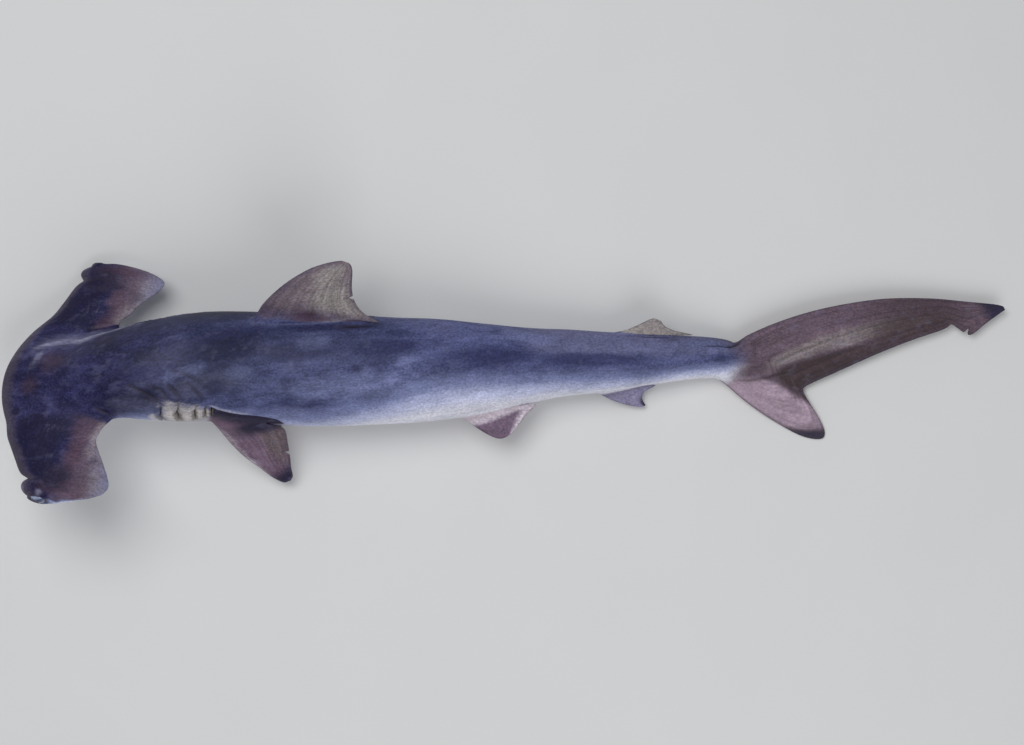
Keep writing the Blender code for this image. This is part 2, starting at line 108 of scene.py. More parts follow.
# Where across the head its margins are bent along the body: middle, width, front, rear.
MARGIN_BENDS = ((20, 38, -2.8, 0.0), (-51, 17, 4.2, 0.0), (-66, 16, 0.0, -3.2), (70, 18, 1.4, 0.0))
# The place on the spine that holds the rigid lobes.
HAMMER_HOLD = 60.0

# Half of the hammer seen from above: each (v, u) of the front margin and its partner on the rear
# margin. The pairs close at the outer end, behind the eye.
HAMMER_FRONT = (
    (0, -1.5), (20, 0), (41, 8), (60, 19), (78, 30.5), (88, 37), (93, 41.5), (96.5, 46),
    (100, 46), (104, 42.5), (108, 43), (111, 47.5), (113, 55), (113.8, 64), (113.8, 73),
)
HAMMER_REAR = (
    (0, 94), (20, 94), (41, 94.5), (60, 98), (76, 107), (87, 113.5), (92, 116), (95.5, 117.5),
    (98.5, 118), (102, 117), (105, 113.5), (107.5, 107.5), (110, 99), (112, 89), (113.4, 79),
)
HAMMER_LAST = len(HAMMER_FRONT) - 1
# How thick the hammer is, by the distance from its middle.
HAMMER_THICKNESS = ((0, 26), (30, 24), (60, 20), (88, 17.5), (104, 19), (110, 18.5), (115, 14))
# Across the head, the middle of the head ends here and the lobes begin.
HEAD_SPLIT = 41.0
# How softly the trunk rises out of the hammer, in millimetres.
NAPE_SOFTNESS = 6.0
# The lobes grow thin towards their ends: from this pair of margin points on, over so many more.
END_START = 11
END_REACH = 3.4
# The left eyeball's centre and its radius.
EYE_PLACE = (59.2, 108.5, 0.7)
EYE_RADIUS = 8.2

# Gill slits: distance from the snout, and the turn round the body where each starts and ends.
GILLS = ((133.5, 79, 117), (146.5, 79, 119), (158, 87, 118), (166.5, 90, 114), (173, 93, 110))

# The mouth: how far its middle and its corners lie behind the snout, and half of its width.
MOUTH_MIDDLE = 56.0
MOUTH_CORNER = 84.0
MOUTH_HALF = 31.0
# The fold at the mouth's left corner: (u, v) of its ends.
MOUTH_FOLD = ((80, 27.5), (87, 32))

# The nostril's slit, and the groove inward from it, by the numbers of the front margin's points.
NOSTRIL_SLIT = (5.35, 6.9)
NOSTRIL_GROOVE = (3.0, 5.4)

# Tail fin: pairs of points (u, w) on its upper and its lower outline, from the stalk to the tip.
TAIL_UPPER = (
    (606, 16.9), (610, 16.2), (614, 15.4), (617.5, 14.4), (620.5, 13.0), (622.5, 12.6),
    (624.5, 13.3), (626, 14.2), (627.5, 15.1), (629, 16.2), (630.5, 17.2), (633, 18.8),
    (643, 23.5), (660, 30.5), (687, 39.2), (720, 46.2), (753, 50.5), (786, 50.6), (799, 49.9),
    (809, 49), (817, 48.2), (830, 47), (841, 46), (849, 45), (854, 43.3),
)
TAIL_LOWER = (
    (606, -18.2), (615, -23.8), (630, -37), (648, -50), (667, -61.5), (682, -69), (694, -71.5),
    (701, -70), (701, -62), (694, -49), (685.5, -36), (681, -27.5), (691, -22), (708, -14.5),
    (735, -2), (756, 7), (779, 16), (803, 24), (808, 29), (816, 23.5), (825, 18.3),
    (835, 26.5), (845, 34), (852, 39), (855, 41),
)
TAIL_LAST = len(TAIL_UPPER) - 1
# The numbers of the lower outline's sharp corners, in the fork and in the notch near the tip.
TAIL_FORK = 11
TAIL_NOTCH = 18
TAIL_START = 606.0
TAIL_END = 848.0
# The muscle in the tail fin: its half width and its height along the fin, out to the thin blade.
TAIL_CORE = ((606, 13.3), (620, 11), (640, 9), (665, 7), (700, 5.4), (745, 4), (800, 2.4), (848, 1.0))
TAIL_AXIS = ((606, 0), (640, 3), (670, 13), (700, 23), (745, 33), (800, 41), (848, 43))
# Half of the blade's thickness at its edge.
BLADE_EDGE = 0.7

# Fins: margins as (u, height above the skin) from the root to the apex, the turn round the body
# of the root, and the way that the fin points, as a turn from the back towards the left. A flop
# lays the free rear tip over to the left: where it starts, where it is whole, and how far it goes.
NO_FLOP = (0, 1, 0)
# Half of a fin's least thickness.
FIN_EDGE = 0.55
PELVIC_FRONT = ((386, 0), (395, 9), (406, 18.5), (415, 24.5), (421, 26))
PELVIC_REAR = ((430, 0), (450, 2), (441.5, 8.5), (433, 17.5), (426, 24.8))
PECTORAL_FRONT = (
    (178, 0), (188.5, 16.2), (201.5, 33.4), (214.5, 47.4), (227.5, 59.4), (238, 65.6), (243.5, 67),
)
PECTORAL_REAR = ((222, 0), (241, 4), (244, 18), (246.5, 36), (247.5, 50), (249, 58.5), (246.5, 65.2))
FAR_FIN_FRONT = ((175, 0), (184, 15), (196, 31), (208, 45), (219, 55.5), (228, 61.5), (234, 63))
FAR_FIN_REAR = ((217, 0), (233, 4), (235, 17), (236.5, 34), (237.5, 47), (238.5, 56), (237, 62))
FINS = {
    "dorsal_1": dict(
        front=(
            (209, 0), (216.5, 14), (228, 31), (241.5, 45.8), (256.5, 56.4), (270, 61.5), (280.5, 63.0),
            (286.5, 62.6),
        ),
        rear=(
            (302, 0), (320, 0.4), (306, 6.5), (297.5, 18), (294.5, 34), (295.4, 49), (294, 56.5),
            (291, 60.6),
        ),
        root=0, lean=10, thickness=8.0, mirror=1, flop=(298, 320, 8.5),
    ),
    "dorsal_2": dict(
        front=((521, 0), (532, 4.6), (541.5, 10.5), (549, 15.2), (553.5, 16.4)),
        rear=((566, 0), (588, 1), (572, 3.6), (561.5, 8.4), (557, 15)),
        root=0, lean=16, thickness=4.0, mirror=1,
    ),
    "anal": dict(
        front=((503, 0), (514, 8), (527, 15), (539, 19.5), (544, 20.5)),
        rear=((540, 0), (556, 2), (545, 6), (542, 12), (546, 20)),
        root=180, lean=180, thickness=4.0, mirror=1,
    ),
    "pelvic_left": dict(
        front=PELVIC_FRONT, rear=PELVIC_REAR,
        root=155, lean=180, thickness=5.0, mirror=1,
    ),
    "pelvic_right": dict(
        front=PELVIC_FRONT, rear=PELVIC_REAR,
        root=158, lean=182, thickness=5.0, mirror=-1,
    ),
    "pectoral_left": dict(
        front=PECTORAL_FRONT, rear=PECTORAL_REAR,
        root=131, lean=183, thickness=9.0, mirror=1,
    ),
    "pectoral_right": dict(
        front=FAR_FIN_FRONT, rear=FAR_FIN_REAR,
        root=142, lean=212, thickness=9.0, mirror=-1,
    ),
}


def cubic(t, start, leaving, end, coming):
    """A cubic from start to end as t goes from 0 to 1, with its slopes at both."""
    return (
        (2 * t**3 - 3 * t**2 + 1) * start
        + (t**3 - 2 * t**2 + t) * leaving
        + (3 * t**2 - 2 * t**3) * end
        + (t**3 - t**2) * coming
    )


def smooth_curve(points):
    """A cubic through (x, y) points that never overshoots them."""
    xs = np.array([p[0] for p in points], float)
    ys = np.array([p[1] for p in points], float)
    steps = np.diff(xs)
    slopes = np.diff(ys) / steps
    tangents = np.concatenate([slopes[:1], np.zeros(len(xs) - 2), slopes[-1:]])
    for i in range(1, len(xs) - 1):
        if slopes[i - 1] * slopes[i] > 0:
            before = 2 * steps[i] + steps[i - 1]
            after = steps[i] + 2 * steps[i - 1]
            tangents[i] = (before + after) / (before / slopes[i - 1] + after / slopes[i])

    def value(x):
        i = np.clip(np.searchsorted(xs, x, side="right") - 1, 0, len(xs) - 2)
        t = np.clip((x - xs[i]) / steps[i], 0, 1)
        return cubic(t, ys[i], steps[i] * tangents[i], ys[i + 1], steps[i] * tangents[i + 1])

    return value


def smooth_line(points, corners=()):
    """A curve through 2-D points by their index, with a sharp turn at the corners."""
    nodes = np.array(points, float)
    last = len(nodes) - 1
    ends = set(corners) | {0, last}

    def tangent(i, ahead):
        if i not in ends:
            return (nodes[i + 1] - nodes[i - 1]) / 2
        if ahead:
            return nodes[min(i + 1, last)] - nodes[i]
        return nodes[i] - nodes[max(i - 1, 0)]

    leaving = np.array([tangent(i, True) for i in range(last)])
    coming = np.array([tangent(i + 1, False) for i in range(last)])

    def value(k):
        k = np.asarray(k, float)
        i = np.clip(np.floor(k).astype(int), 0, last - 1)
        t = (k - i)[..., None]
        return cubic(t, nodes[i], leaving[i], nodes[i + 1], coming[i])

    return value


def ease(low, high, x):
    """0 below low and 1 above high, or the other way round, and smooth between."""
    t = np.clip((x - low) / (high - low), 0, 1)
    return t * t * (3 - 2 * t)


def hump(x, centre, width):
    """A bell: 1 at the centre, and nearly 0 from twice the width on."""
    return np.exp(-(((x - centre) / width) ** 2))


def section_power(c):
    """How full the body's section is where the turn from the back has this cosine."""
    return 1 + (BACK_POWER - 1) * ease(0, 0.9, c) + (BELLY_POWER - 1) * ease(0, 0.9, -c)


half_width = smooth_curve([(s[0], s[1]) for s in TRUNK])
back = smooth_curve([(s[0], s[2]) for s in TRUNK])
belly = smooth_curve([(s[0], s[3]) for s in TRUNK])
hammer_thickness = smooth_curve(HAMMER_THICKNESS)
hammer_front = smooth_line(HAMMER_FRONT)
hammer_rear = smooth_line(HAMMER_REAR)
tail_upper = smooth_line(TAIL_UPPER)
tail_lower = smooth_line(TAIL_LOWER, corners=(TAIL_FORK, TAIL_NOTCH))
tail_core = smooth_curve(TAIL_CORE)
tail_axis = smooth_curve(TAIL_AXIS)


def build_spine():
    """Places and frames along the spine, one each millimetre."""
    u = np.arange(SPINE[0][0], SPINE[-1][0] + 1.0, 1.0)
    y = smooth_curve([(s[0], s[1]) for s in SPINE])(u)
    z = smooth_curve([(s[0], s[2]) for s in SPINE])(u)
    roll = np.radians(smooth_curve([(s[0], s[3]) for s in SPINE])(u))
    dy = np.gradient(y, u)
    dz = np.gradient(z, u)
    dx = np.sqrt(1 - dy**2 - dz**2)
    x = np.concatenate([[0], np.cumsum((dx[1:] + dx[:-1]) / 2)])
    x += SNOUT_X - np.interp(0, u, x)
    along = np.stack([dx, dy, dz], 1)
    up = np.stack([0 * roll, np.cos(roll), np.sin(roll)], 1)
    up -= (up * along).sum(1, keepdims=True) * along
    up /= np.linalg.norm(up, axis=1, keepdims=True)
    side = np.cross(along, up)
    return u, np.hstack([np.stack([x, y + ACROSS, z], 1), along, side, up])


SPINE_U, SPINE_FRAMES = build_spine()


def spine_anchor(u, v):
    """Where along the spine a point is held: the hammer's lobes turn as one rigid piece."""
    rigid = ease(38, 62, np.abs(v)) * (u < HEAD_END)
    return u + rigid * (np.minimum(u, HAMMER_HOLD) - u)


def spine_frame(anchor):
    frame_at = np.stack([np.interp(anchor, SPINE_U, f) for f in SPINE_FRAMES.T], 1)
    return frame_at[:, :3], frame_at[:, 3:6], frame_at[:, 6:9], frame_at[:, 9:]


def bend_head(u, v):
    """Points of the straight head, bent a little as the real one lies."""
    at_head = u < HEAD_END
    left, right = LOBE_BENDS[1], LOBE_BENDS[-1]
    side = np.where(v < 0, -1, 1)
    front, rear, rear_out, notch_out, eye_out = (np.where(v < 0, b, a) for a, b in zip(left, right))
    end = ease(62, 106, np.abs(v)) * at_head
    notch = hump(np.abs(v), 104, 9) * (1 - ease(45, 75, u)) * at_head
    behind = np.clip((u - 46) / 66, 0, 1)
    ahead = (1 - ease(5, 70, u)) * at_head
    margin = ease(60, 100, u) * at_head
    bent_u = u + end * (front * (1 - behind) + rear * behind)
    for middle, wide, front_size, rear_size in MARGIN_BENDS:
        bent_u = bent_u + hump(v, middle, wide) * (front_size * ahead + rear_size * margin)
    by_eye = end * hump(u, 58, 20) * eye_out
    bent_v = v + side * (end * rear_out * behind**2 + notch * notch_out + by_eye)
    return bent_u, bent_v


def pose(points):
    """Points of the straight shark on the posed one."""
    u, v, w = np.asarray(points, float).reshape(-1, 3).T
    u, v = bend_head(u, v)
    v = np.where((v < 0) & (u < HEAD_END), v * (1 - (1 - RIGHT_LOBE_SPAN) * ease(38, 90, -v)), v)
    anchor = spine_anchor(u, v)
    u = u + HEAD_SHEAR * v * ease(40, 60, np.abs(v)) * (u < HEAD_END)
    place, along, side, up = spine_frame(anchor)
    out = place + (u - anchor)[:, None] * along + v[:, None] * side + w[:, None] * up
    return out * MM


def turned(points, moves):
    """Small moves (du, dv, dw) at points of the straight shark, as moves on the posed one."""
    _, along, side, up = spine_frame(spine_anchor(points[:, 0], points[:, 1]))
    return (moves[:, :1] * along + moves[:, 1:2] * side + moves[:, 2:] * up) * MM


def trunk_skin(u, turn):
    """Points on the trunk's skin at distance u and a turn round it from the back to the left."""
    c, s = np.cos(turn), np.sin(turn)
    v = half_width(u) * np.sign(s) * np.abs(s) ** section_power(c)
    w = np.where(c > 0, back(u) * c, belly(u) * c)
    return np.stack([0 * v + u, v, w], 1)


def trunk_height(u, v, side):
    """How far the trunk's skin stands above or below its axis at u, v. It falls away outside."""
    reach = np.abs(v) / half_width(u)
    power = BACK_POWER if side > 0 else BELLY_POWER
    s = np.clip(reach, 0, 1) ** (1 / power)
    tall = back(u) if side > 0 else belly(u)
    return tall * np.sqrt(1 - s * s) - 40 * np.clip(reach - 1, 0, None)


def hammer_half(v, m):
    """Half thickness of the hammer at v across it and a share m of its chord."""
    return hammer_thickness(v) / 2 * (airfoil(m) * 0.93 + 0.07)


def airfoil(m):
    """Half thickness along a chord, of 1 at its thickest: round in front and thin behind."""
    m = np.clip(m, 0, 1)
    shape = 0.2969 * np.sqrt(m) - 0.126 * m - 0.3516 * m**2 + 0.2843 * m**3 - 0.1036 * m**4
    return shape * 10


def blend_up(a, b, share):
    """The first height raised softly towards the second where that is higher."""
    soft = 0.5 * (a + b + np.sqrt((a - b) ** 2 + NAPE_SOFTNESS**2))
    return a + (np.maximum(soft, a) - a) * share


# How the skin is laid out: columns across the hammer, rows over it, and rings along the body,
# with RING points each.
RING = 48
INNER_COLUMNS = np.linspace(0, 1.95, 8)
OUTER_COLUMNS = (
    2.35, 2.75, 3.15, 3.5, 3.85, 4.2, 4.6, 5, 5.4, 5.8, 6.2, 6.6, 7, 7.4, 7.8, 8.2,
    8.6, 9, 9.5, 10, 10.6, 11.2, 11.8, 12.4, 13, 13.5,
)
HAMMER_ROWS = 12
OPENING_COLUMNS = 7
OPENING_ROWS = 5
NECK_RINGS = 7
NECK_END = 116.0
GILL_RINGS = (-5.2, -2.4, -0.9, 0.5, 2.2)
FINE_HEAD_END = 124.0
# Points of open edges that lie this close are one, in millimetres.
JOIN_REACH = 0.02


class Layout:
    """Points and four-sided faces of the skin, with the piece that each point belongs to."""

    def __init__(self):
        self.points = []
        self.faces = []
        self.marks = []

    def row(self, points, piece=None, chord=0.0, span=0.0):
        """Adds a row of points and gives their numbers."""
        first = len(self.points)
        chords = np.broadcast_to(chord, len(points))
        self.points.extend(map(tuple, points))
        self.marks.extend((piece, float(c), float(span)) for c in chords)
        return list(range(first, len(self.points)))

    def bridge(self, near, far, skip=()):
        """Adds the faces between two loops of as many points, except at the places to skip."""
        count = len(near)
        for i in range(count):
            j = (i + 1) % count
            if i in skip:
                continue
            corners = [near[i], near[j], far[j], far[i]]
            distinct = list(dict.fromkeys(corners))
            if len(distinct) > 2:
                self.faces.append(distinct)


def zipped(row):
    """A loop that closes on one row: its points, then the inner ones again on the way back."""
    return row + row[-2:0:-1]


def hammer_loop(k, side, close=False):
    """A loop round the hammer from its front edge over the top to the rear and back below."""
    front, rear = hammer_front(k), hammer_rear(k)
    m = (1 - np.cos(np.linspace(0, np.pi, HAMMER_ROWS + 1))) / 2
    line = front[None] * (1 - m[:, None]) + rear[None] * m[:, None]
    v, u = line[:, 0], line[:, 1]
    round_end = math.sqrt(max(1 - (max(k - END_START, 0) / END_REACH) ** 2, 0.02))
    half = hammer_half(v, m) * round_end
    if close:
        v = v + 1.4 * np.sin(np.pi * m)
        half = 0 * half
    nape = ease(HEAD_SPLIT - 2, HEAD_SPLIT - 14, np.abs(v))
    top = blend_up(half, trunk_height(u, v, 1), nape)
    bottom = blend_up(half, trunk_height(u, v, -1), nape)
    top[[0, -1]] = bottom[[0, -1]] = 0
    upper = np.stack([u, side * v, top], 1)
    lower = np.stack([u, side * v, -bottom], 1)
    return np.vstack([upper, lower[-2:0:-1]]), np.concatenate([m, m[-2:0:-1]])


def lay_hammer(sheet):
    """The hammer's columns from the left end to the right end, and the opening for the neck."""
    columns = {}
    stations = list(INNER_COLUMNS) + list(OUTER_COLUMNS)
    for side in (1, -1):
        for number, k in enumerate(stations):
            if number == 0 and side < 0:
                continue
            loop, m = hammer_loop(k, side)
            columns[side * number] = sheet.row(loop, "hammer", m, k / HAMMER_LAST)
        end, m = hammer_loop(HAMMER_LAST, side, close=True)
        half = HAMMER_ROWS + 1
        columns[side * len(stations)] = zipped(sheet.row(end[:half], "hammer", m[:half], 1.0))
    order = sorted(columns)
    gone = range(HAMMER_ROWS - OPENING_ROWS, HAMMER_ROWS + OPENING_ROWS)
    for a, b in zip(order, order[1:]):
        inside = -OPENING_COLUMNS <= a and b <= OPENING_COLUMNS
        sheet.bridge(columns[a], columns[b], skip=gone if inside else ())
    return opening_loop(columns)


def opening_loop(columns):
    """The edge of the opening behind the head, from the top middle round the left side."""
    top, bottom = HAMMER_ROWS - OPENING_ROWS, HAMMER_ROWS + OPENING_ROWS
    across = range(-OPENING_COLUMNS, OPENING_COLUMNS + 1)
    over = [columns[c][top] for c in across]
    left = [columns[OPENING_COLUMNS][j] for j in range(top + 1, bottom)]
    under = [columns[c][bottom] for c in reversed(across)]
    right = [columns[-OPENING_COLUMNS][j] for j in range(bottom - 1, top, -1)]
    loop = over + left + under + right
    return loop[OPENING_COLUMNS:] + loop[:OPENING_COLUMNS]


def ring_turns(u):
    """The turns of one ring's points, drawn a little towards the roots of the fins beside it."""
    even = np.arange(RING) * 2 * np.pi / RING
    moved = even.copy()
    for fin in FINS.values():
        root = math.radians(fin["root"]) * fin["mirror"] % (2 * np.pi)
        near = fin_column(fin)
        start, end = fin["front"][0][0], fin["rear"][0][0]
        reach = ease(start - 30, start - 6, u) * (1 - ease(end + 6, end + 30, u))
        away = (np.arange(RING) - near + RING / 2) % RING - RING / 2
        moved += (root - even[near]) * hump(away, 0, 4) * reach
    return moved


def fin_column(fin):
    """The place in a ring where a fin stands."""
    return round(fin["root"] * fin["mirror"] % 360 * RING / 360) % RING


def ring_stations():
    """Distances from the snout of the body's rings: close together at the gills."""
    marks = [NECK_END]
    for gill in GILLS:
        marks += [gill[0] + step for step in GILL_RINGS]
    for fin in FINS.values():
        marks += list(fin_span(fin))
    marks = sorted(set(marks) | {TAIL_START})
    spread = [marks[0]]
    for mark in marks[1:]:
        gap = mark - spread[-1]
        if gap < 1.0:
            continue
        parts = max(1, round(gap / 7.4))
        spread += [spread[-1] + gap * (i + 1) / parts for i in range(parts)]
    return np.array(spread)


def fin_span(fin):
    """Where along the body a fin's root starts and ends, with room for its fillet."""
    return fin["front"][0][0] - 2.5, fin["rear"][0][0] + 2.0


def lay_trunk(sheet, opening):
    """The rings of the neck and the body, with an opening under each fin."""
    stations = ring_stations()
    planar = trunk_skin(np.full(RING, NECK_END), ring_turns(NECK_END))
    start = np.array([sheet.points[i] for i in opening])
    rings = [opening]
    for step in range(1, NECK_RINGS):
        share = step / NECK_RINGS
        rings.append(sheet.row(start * (1 - share) + planar * share, "neck"))
    first = len(rings)
    for u in stations:
        rings.append(sheet.row(trunk_skin(np.full(RING, u), ring_turns(u)), "trunk"))
    holes = {}
    for name, fin in FINS.items():
        ends = [first + int(np.argmin(np.abs(stations - mark))) for mark in fin_span(fin)]
        holes[name] = (*ends, fin_column(fin))
    for r, (near, far) in enumerate(zip(rings, rings[1:])):
        gone = set()
        for a, b, column in holes.values():
            if a <= r < b:
                gone |= {column % RING, (column - 1) % RING}
        sheet.bridge(near, far, skip=gone)
    return rings, holes


def fin_steps(fin):
    """Where a fin's loops lie, by the numbers of its margins' points from the root to the apex."""
    last = len(fin["front"]) - 1
    middle = list(np.arange(1.5, last - 0.9, 0.5))
    return [0.25, 0.6, 1.0] + middle + [last - 0.75, last - 0.3, last]


def fin_frame(fin, u):
    """The fin's root line on the skin, and the ways out along it and across it, over (v, w)."""
    turn = math.radians(fin["root"])
    tilt = math.radians(fin["lean"])
    root = trunk_skin(u, np.full(len(u), turn))[:, 1:] * (fin["mirror"], 1)
    start, end, reach = fin.get("flop", NO_FLOP)
    root[:, 0] += reach * ease(start, end, u)
    out = np.array([math.sin(tilt) * fin["mirror"], math.cos(tilt)])
    across = np.array([math.cos(tilt) * fin["mirror"], -math.sin(tilt)])
    return root, out, across


def fin_loop(fin, k, base):
    """A loop round a fin: its front edge, its left face, its rear edge and its right face."""
    front = smooth_line(fin["front"])(k)
    rear = smooth_line(fin["rear"])(k)
    last = len(fin["front"]) - 1
    even = (1 - np.cos(np.linspace(0, np.pi, len(base)))) / 2
    share = min(k / 1.5, 1)
    m = np.asarray(base) * (1 - share) + even * share
    u = front[0] * (1 - m) + rear[0] * m
    h = front[1] * (1 - m) + rear[1] * m
    swell = 0.8 * min(k, 1)
    u[0] -= swell
    u[-1] += swell
    thin = 1 - 0.72 * (k / last) ** 0.7
    half = fin["thickness"] / 2 * thin * (airfoil(m) * 0.86 + 0.14 * np.sqrt(np.sin(np.pi * m)))
    half = np.maximum(half, FIN_EDGE)
    half *= 1 + 0.9 * max(0, 1 - k / 0.7)
    half[[0, -1]] = 0
    root, out, across = fin_frame(fin, u)
    middle = root + h[:, None] * out
    left = np.column_stack([u, middle + half[:, None] * across])
    right = np.column_stack([u, middle - half[:, None] * across])
    return left, right, m, k / last


def lay_fin(sheet, name, rings, hole):
    """A fin's loops from the opening under it out to its tip."""
    fin = FINS[name]
    a, b, column = hole
    side = column + (1 if fin_faces_up(fin) else -1)
    other = 2 * column - side
    face = [rings[r][side % RING] for r in range(a, b + 1)]
    back_face = [rings[r][other % RING] for r in range(a, b + 1)]
    loop = [rings[a][column]] + face + [rings[b][column]] + back_face[::-1]
    along = np.array([sheet.points[i][0] for i in face])
    base = (along - along[0] + 1.5) / (along[-1] - along[0] + 3.0)
    base = np.concatenate([[0], base, [1]])
    steps = fin_steps(fin)
    for k in steps:
        left, right, m, span = fin_loop(fin, k, base)
        if k == steps[-1]:
            new = zipped(sheet.row((left + right) / 2, name, m, span))
        else:
            both = np.vstack([left, right[-2:0:-1]])
            new = sheet.row(both, name, np.append(m, m[-2:0:-1]), span)
        sheet.bridge(loop, new)
        loop = new


def fin_faces_up(fin):
    """Whether the next place in a ring lies on the side that the fin's across direction points to."""
    turn = math.radians(fin["root"])
    onward = np.array([math.cos(turn), -math.sin(turn)]) * (fin["mirror"], 1)
    step = onward * fin["mirror"]
    tilt = math.radians(fin["lean"])
    across = np.array([math.cos(tilt) * fin["mirror"], -math.sin(tilt)])
    return float(step @ across) > 0


def tail_loop(k):
    """One slanting section of the tail fin, between its two outlines."""
    upper, lower = tail_upper(k), tail_lower(k)
    turn = np.linspace(0, 2 * np.pi, RING, endpoint=False)
    m = (1 - np.cos(turn)) / 2
    line = upper[None] * (1 - m[:, None]) + lower[None] * m[:, None]
    u, w = line[:, 0], line[:, 1]
    c, s = np.cos(turn), np.sin(turn)
    round_half = tail_core(u) * np.abs(s) ** section_power(c)
    spread = 7 + 0.012 * (TAIL_END - u)
    bell = hump(w, tail_axis(u), spread)
    shut = np.clip(1 - np.abs(2 * m - 1) ** 10, 0, 1) ** 0.5
    blade_half = (BLADE_EDGE + (tail_core(u) - BLADE_EDGE) * bell) * shut
    flat = ease(0, 5, k)
    half = round_half * (1 - flat) + blade_half * flat
    return np.stack([u, np.sign(s) * half, w], 1), m


def lay_tail(sheet, last_ring):
    """The tail fin's loops, from the last ring of the body to the tip."""
    steps = list(np.arange(0.5, TAIL_LAST, 0.5)) + [float(TAIL_LAST)]
    loop = last_ring
    for k in steps:
        points, m = tail_loop(k)
        if k == steps[-1]:
            half = RING // 2 + 1
            flat = points[:half] * (1, 0, 1)
            new = zipped(sheet.row(flat, "tail", m[:half], 1.0))
        else:
            new = sheet.row(points, "tail", m, k / TAIL_LAST)
        sheet.bridge(loop, new)
        loop = new


# The head's front and rear margin near its middle, as distances from the snout by v.
front_at = smooth_curve(HAMMER_FRONT[:7])
rear_at = smooth_curve(HAMMER_REAR[:7])
# The fillet between the hammer and the neck, and how often the points there are evened out.
NECK_FILLET = 14.0
RELAX_ROUNDS = 24


def body_turn(points):
    """The turn of points round the body from the back to the belly, and their reach: 1 on the skin."""
    u, v, w = points.T
    tall = np.where(w > 0, back(u), belly(u))
    c = w / tall
    s = (np.abs(v) / half_width(u)) ** (1 / section_power(c))
    return np.arctan2(s, c), np.hypot(s, c)


def outside_body(points):
    """How far points lie outside the head and the trunk, taken as one body with a fillet."""
    u, v, w = points.T
    v = np.abs(v)
    tall = np.where(w > 0, back(u), belly(u))
    trunk = (body_turn(points)[1] - 1) * (half_width(u) + tall) / 2
    share = np.clip((u - front_at(v)) / (rear_at(v) - front_at(v)), 0, 1)
    lobe = np.maximum(np.abs(w) - hammer_half(v, share), u - rear_at(v))
    near = np.clip(1 - np.abs(trunk - lobe) / NECK_FILLET, 0, None)
    return np.minimum(trunk, lobe) - near**2 * NECK_FILLET / 4


def settled(points):
    """Points moved straight onto the skin of the head and the trunk."""
    for _ in range(4):
        value = outside_body(points)
        slope = np.stack([outside_body(points + step) - value for step in 0.3 * np.eye(3)], 1) / 0.3
        move = value / np.maximum((slope**2).sum(1), 0.05)
        points = points - np.clip(move, -3, 3)[:, None] * slope
    return points


def relax_neck(sheet):
    """Evens out the points where the head meets the neck, and keeps them on the skin."""
    points = np.array(sheet.points)
    edges = {tuple(sorted(pair)) for face in sheet.faces for pair in zip(face, face[1:] + face[:1])}
    a, b = np.array(sorted(edges)).T
    u, v, _ = points.T
    free = ease(22, 50, u) * (1 - ease(NECK_END - 12, NECK_END, u)) * (1 - ease(43, 54, np.abs(v)))
    chosen = free > 0
    for _ in range(RELAX_ROUNDS):
        total = np.zeros_like(points)
        count = np.zeros(len(points))
        np.add.at(total, a, points[b])
        np.add.at(total, b, points[a])
        np.add.at(count, a, 1)
        np.add.at(count, b, 1)
        middle = total / np.maximum(count, 1)[:, None]
        moved = points + (middle - points) * (0.5 * free)[:, None]
        share = np.minimum(free * 4, 1)[chosen, None]
        points[chosen] = moved[chosen] * (1 - share) + settled(moved[chosen]) * share
    sheet.points = list(map(tuple, points))


# Where the layout is divided twice behind the head: (u from, u to, turn from, turn to, least v) of
# the gills and the folds over them, the crease over the pectoral fin, and the folds of the stalk.
FINER_BANDS = (
    (84, 189, 36, 126, 0),
    (84, 189, 76, 126, -100),
    (160, 254, 86, 144, 0),
    (535, 632, -1, 62, -3),
)
# The crease over the tail fin's lower lobe: (u from, u to, w from, w to).
FINER_CREASE = (614, 678, -24, -8)


def fineness(centres):
    """How often each face of the layout is divided: most at the eyes, nostrils and mouth."""
    u, v, w = centres.T
    side = np.abs(v)
    level = np.ones(len(centres), int)
    level[u < FINE_HEAD_END] = 2
    turn = np.degrees(body_turn(centres)[0])
    for u_from, u_to, turn_from, turn_to, least_v in FINER_BANDS:
        level[(u > u_from) & (u < u_to) & (turn > turn_from) & (turn < turn_to) & (v > least_v)] = 2
    u_from, u_to, w_from, w_to = FINER_CREASE
    level[(u > u_from) & (u < u_to) & (w > w_from) & (w < w_to) & (v > 0)] = 2
    for _, place, _, _ in NICKS:
        near = np.hypot(u - place[0], w - place[1]) + 100 * (v < -6)
        level[near < 14] = 2
        level[near < 8] = 3
    eye = np.linalg.norm(centres * (1, 0, 1) + side[:, None] * (0, 1, 0) - EYE_PLACE, axis=1)
    level[eye < 13.5] = 3
    level[(side > 82) & (side < 103) & (u < 52)] = 3
    reach = side / MOUTH_HALF
    lips = np.abs(u - MOUTH_MIDDLE - (MOUTH_CORNER - MOUTH_MIDDLE) * reach**2)
    level[(w < -4) & (side < MOUTH_HALF + 6) & (lips < 9)] = 3
    return level


def clean(mesh):
    """Drops loose points, joins the points of open edges that meet, and turns all faces outwards."""
    bm = bmesh.new()
    bm.from_mesh(mesh)
    bmesh.ops.delete(bm, geom=[vert for vert in bm.verts if not vert.link_faces], context="VERTS")
    bmesh.ops.remove_doubles(bm, verts=[v for v in bm.verts if v.is_boundary], dist=JOIN_REACH)
    bmesh.ops.recalc_face_normals(bm, faces=bm.faces[:])
    bm.to_mesh(mesh)
    bm.free()


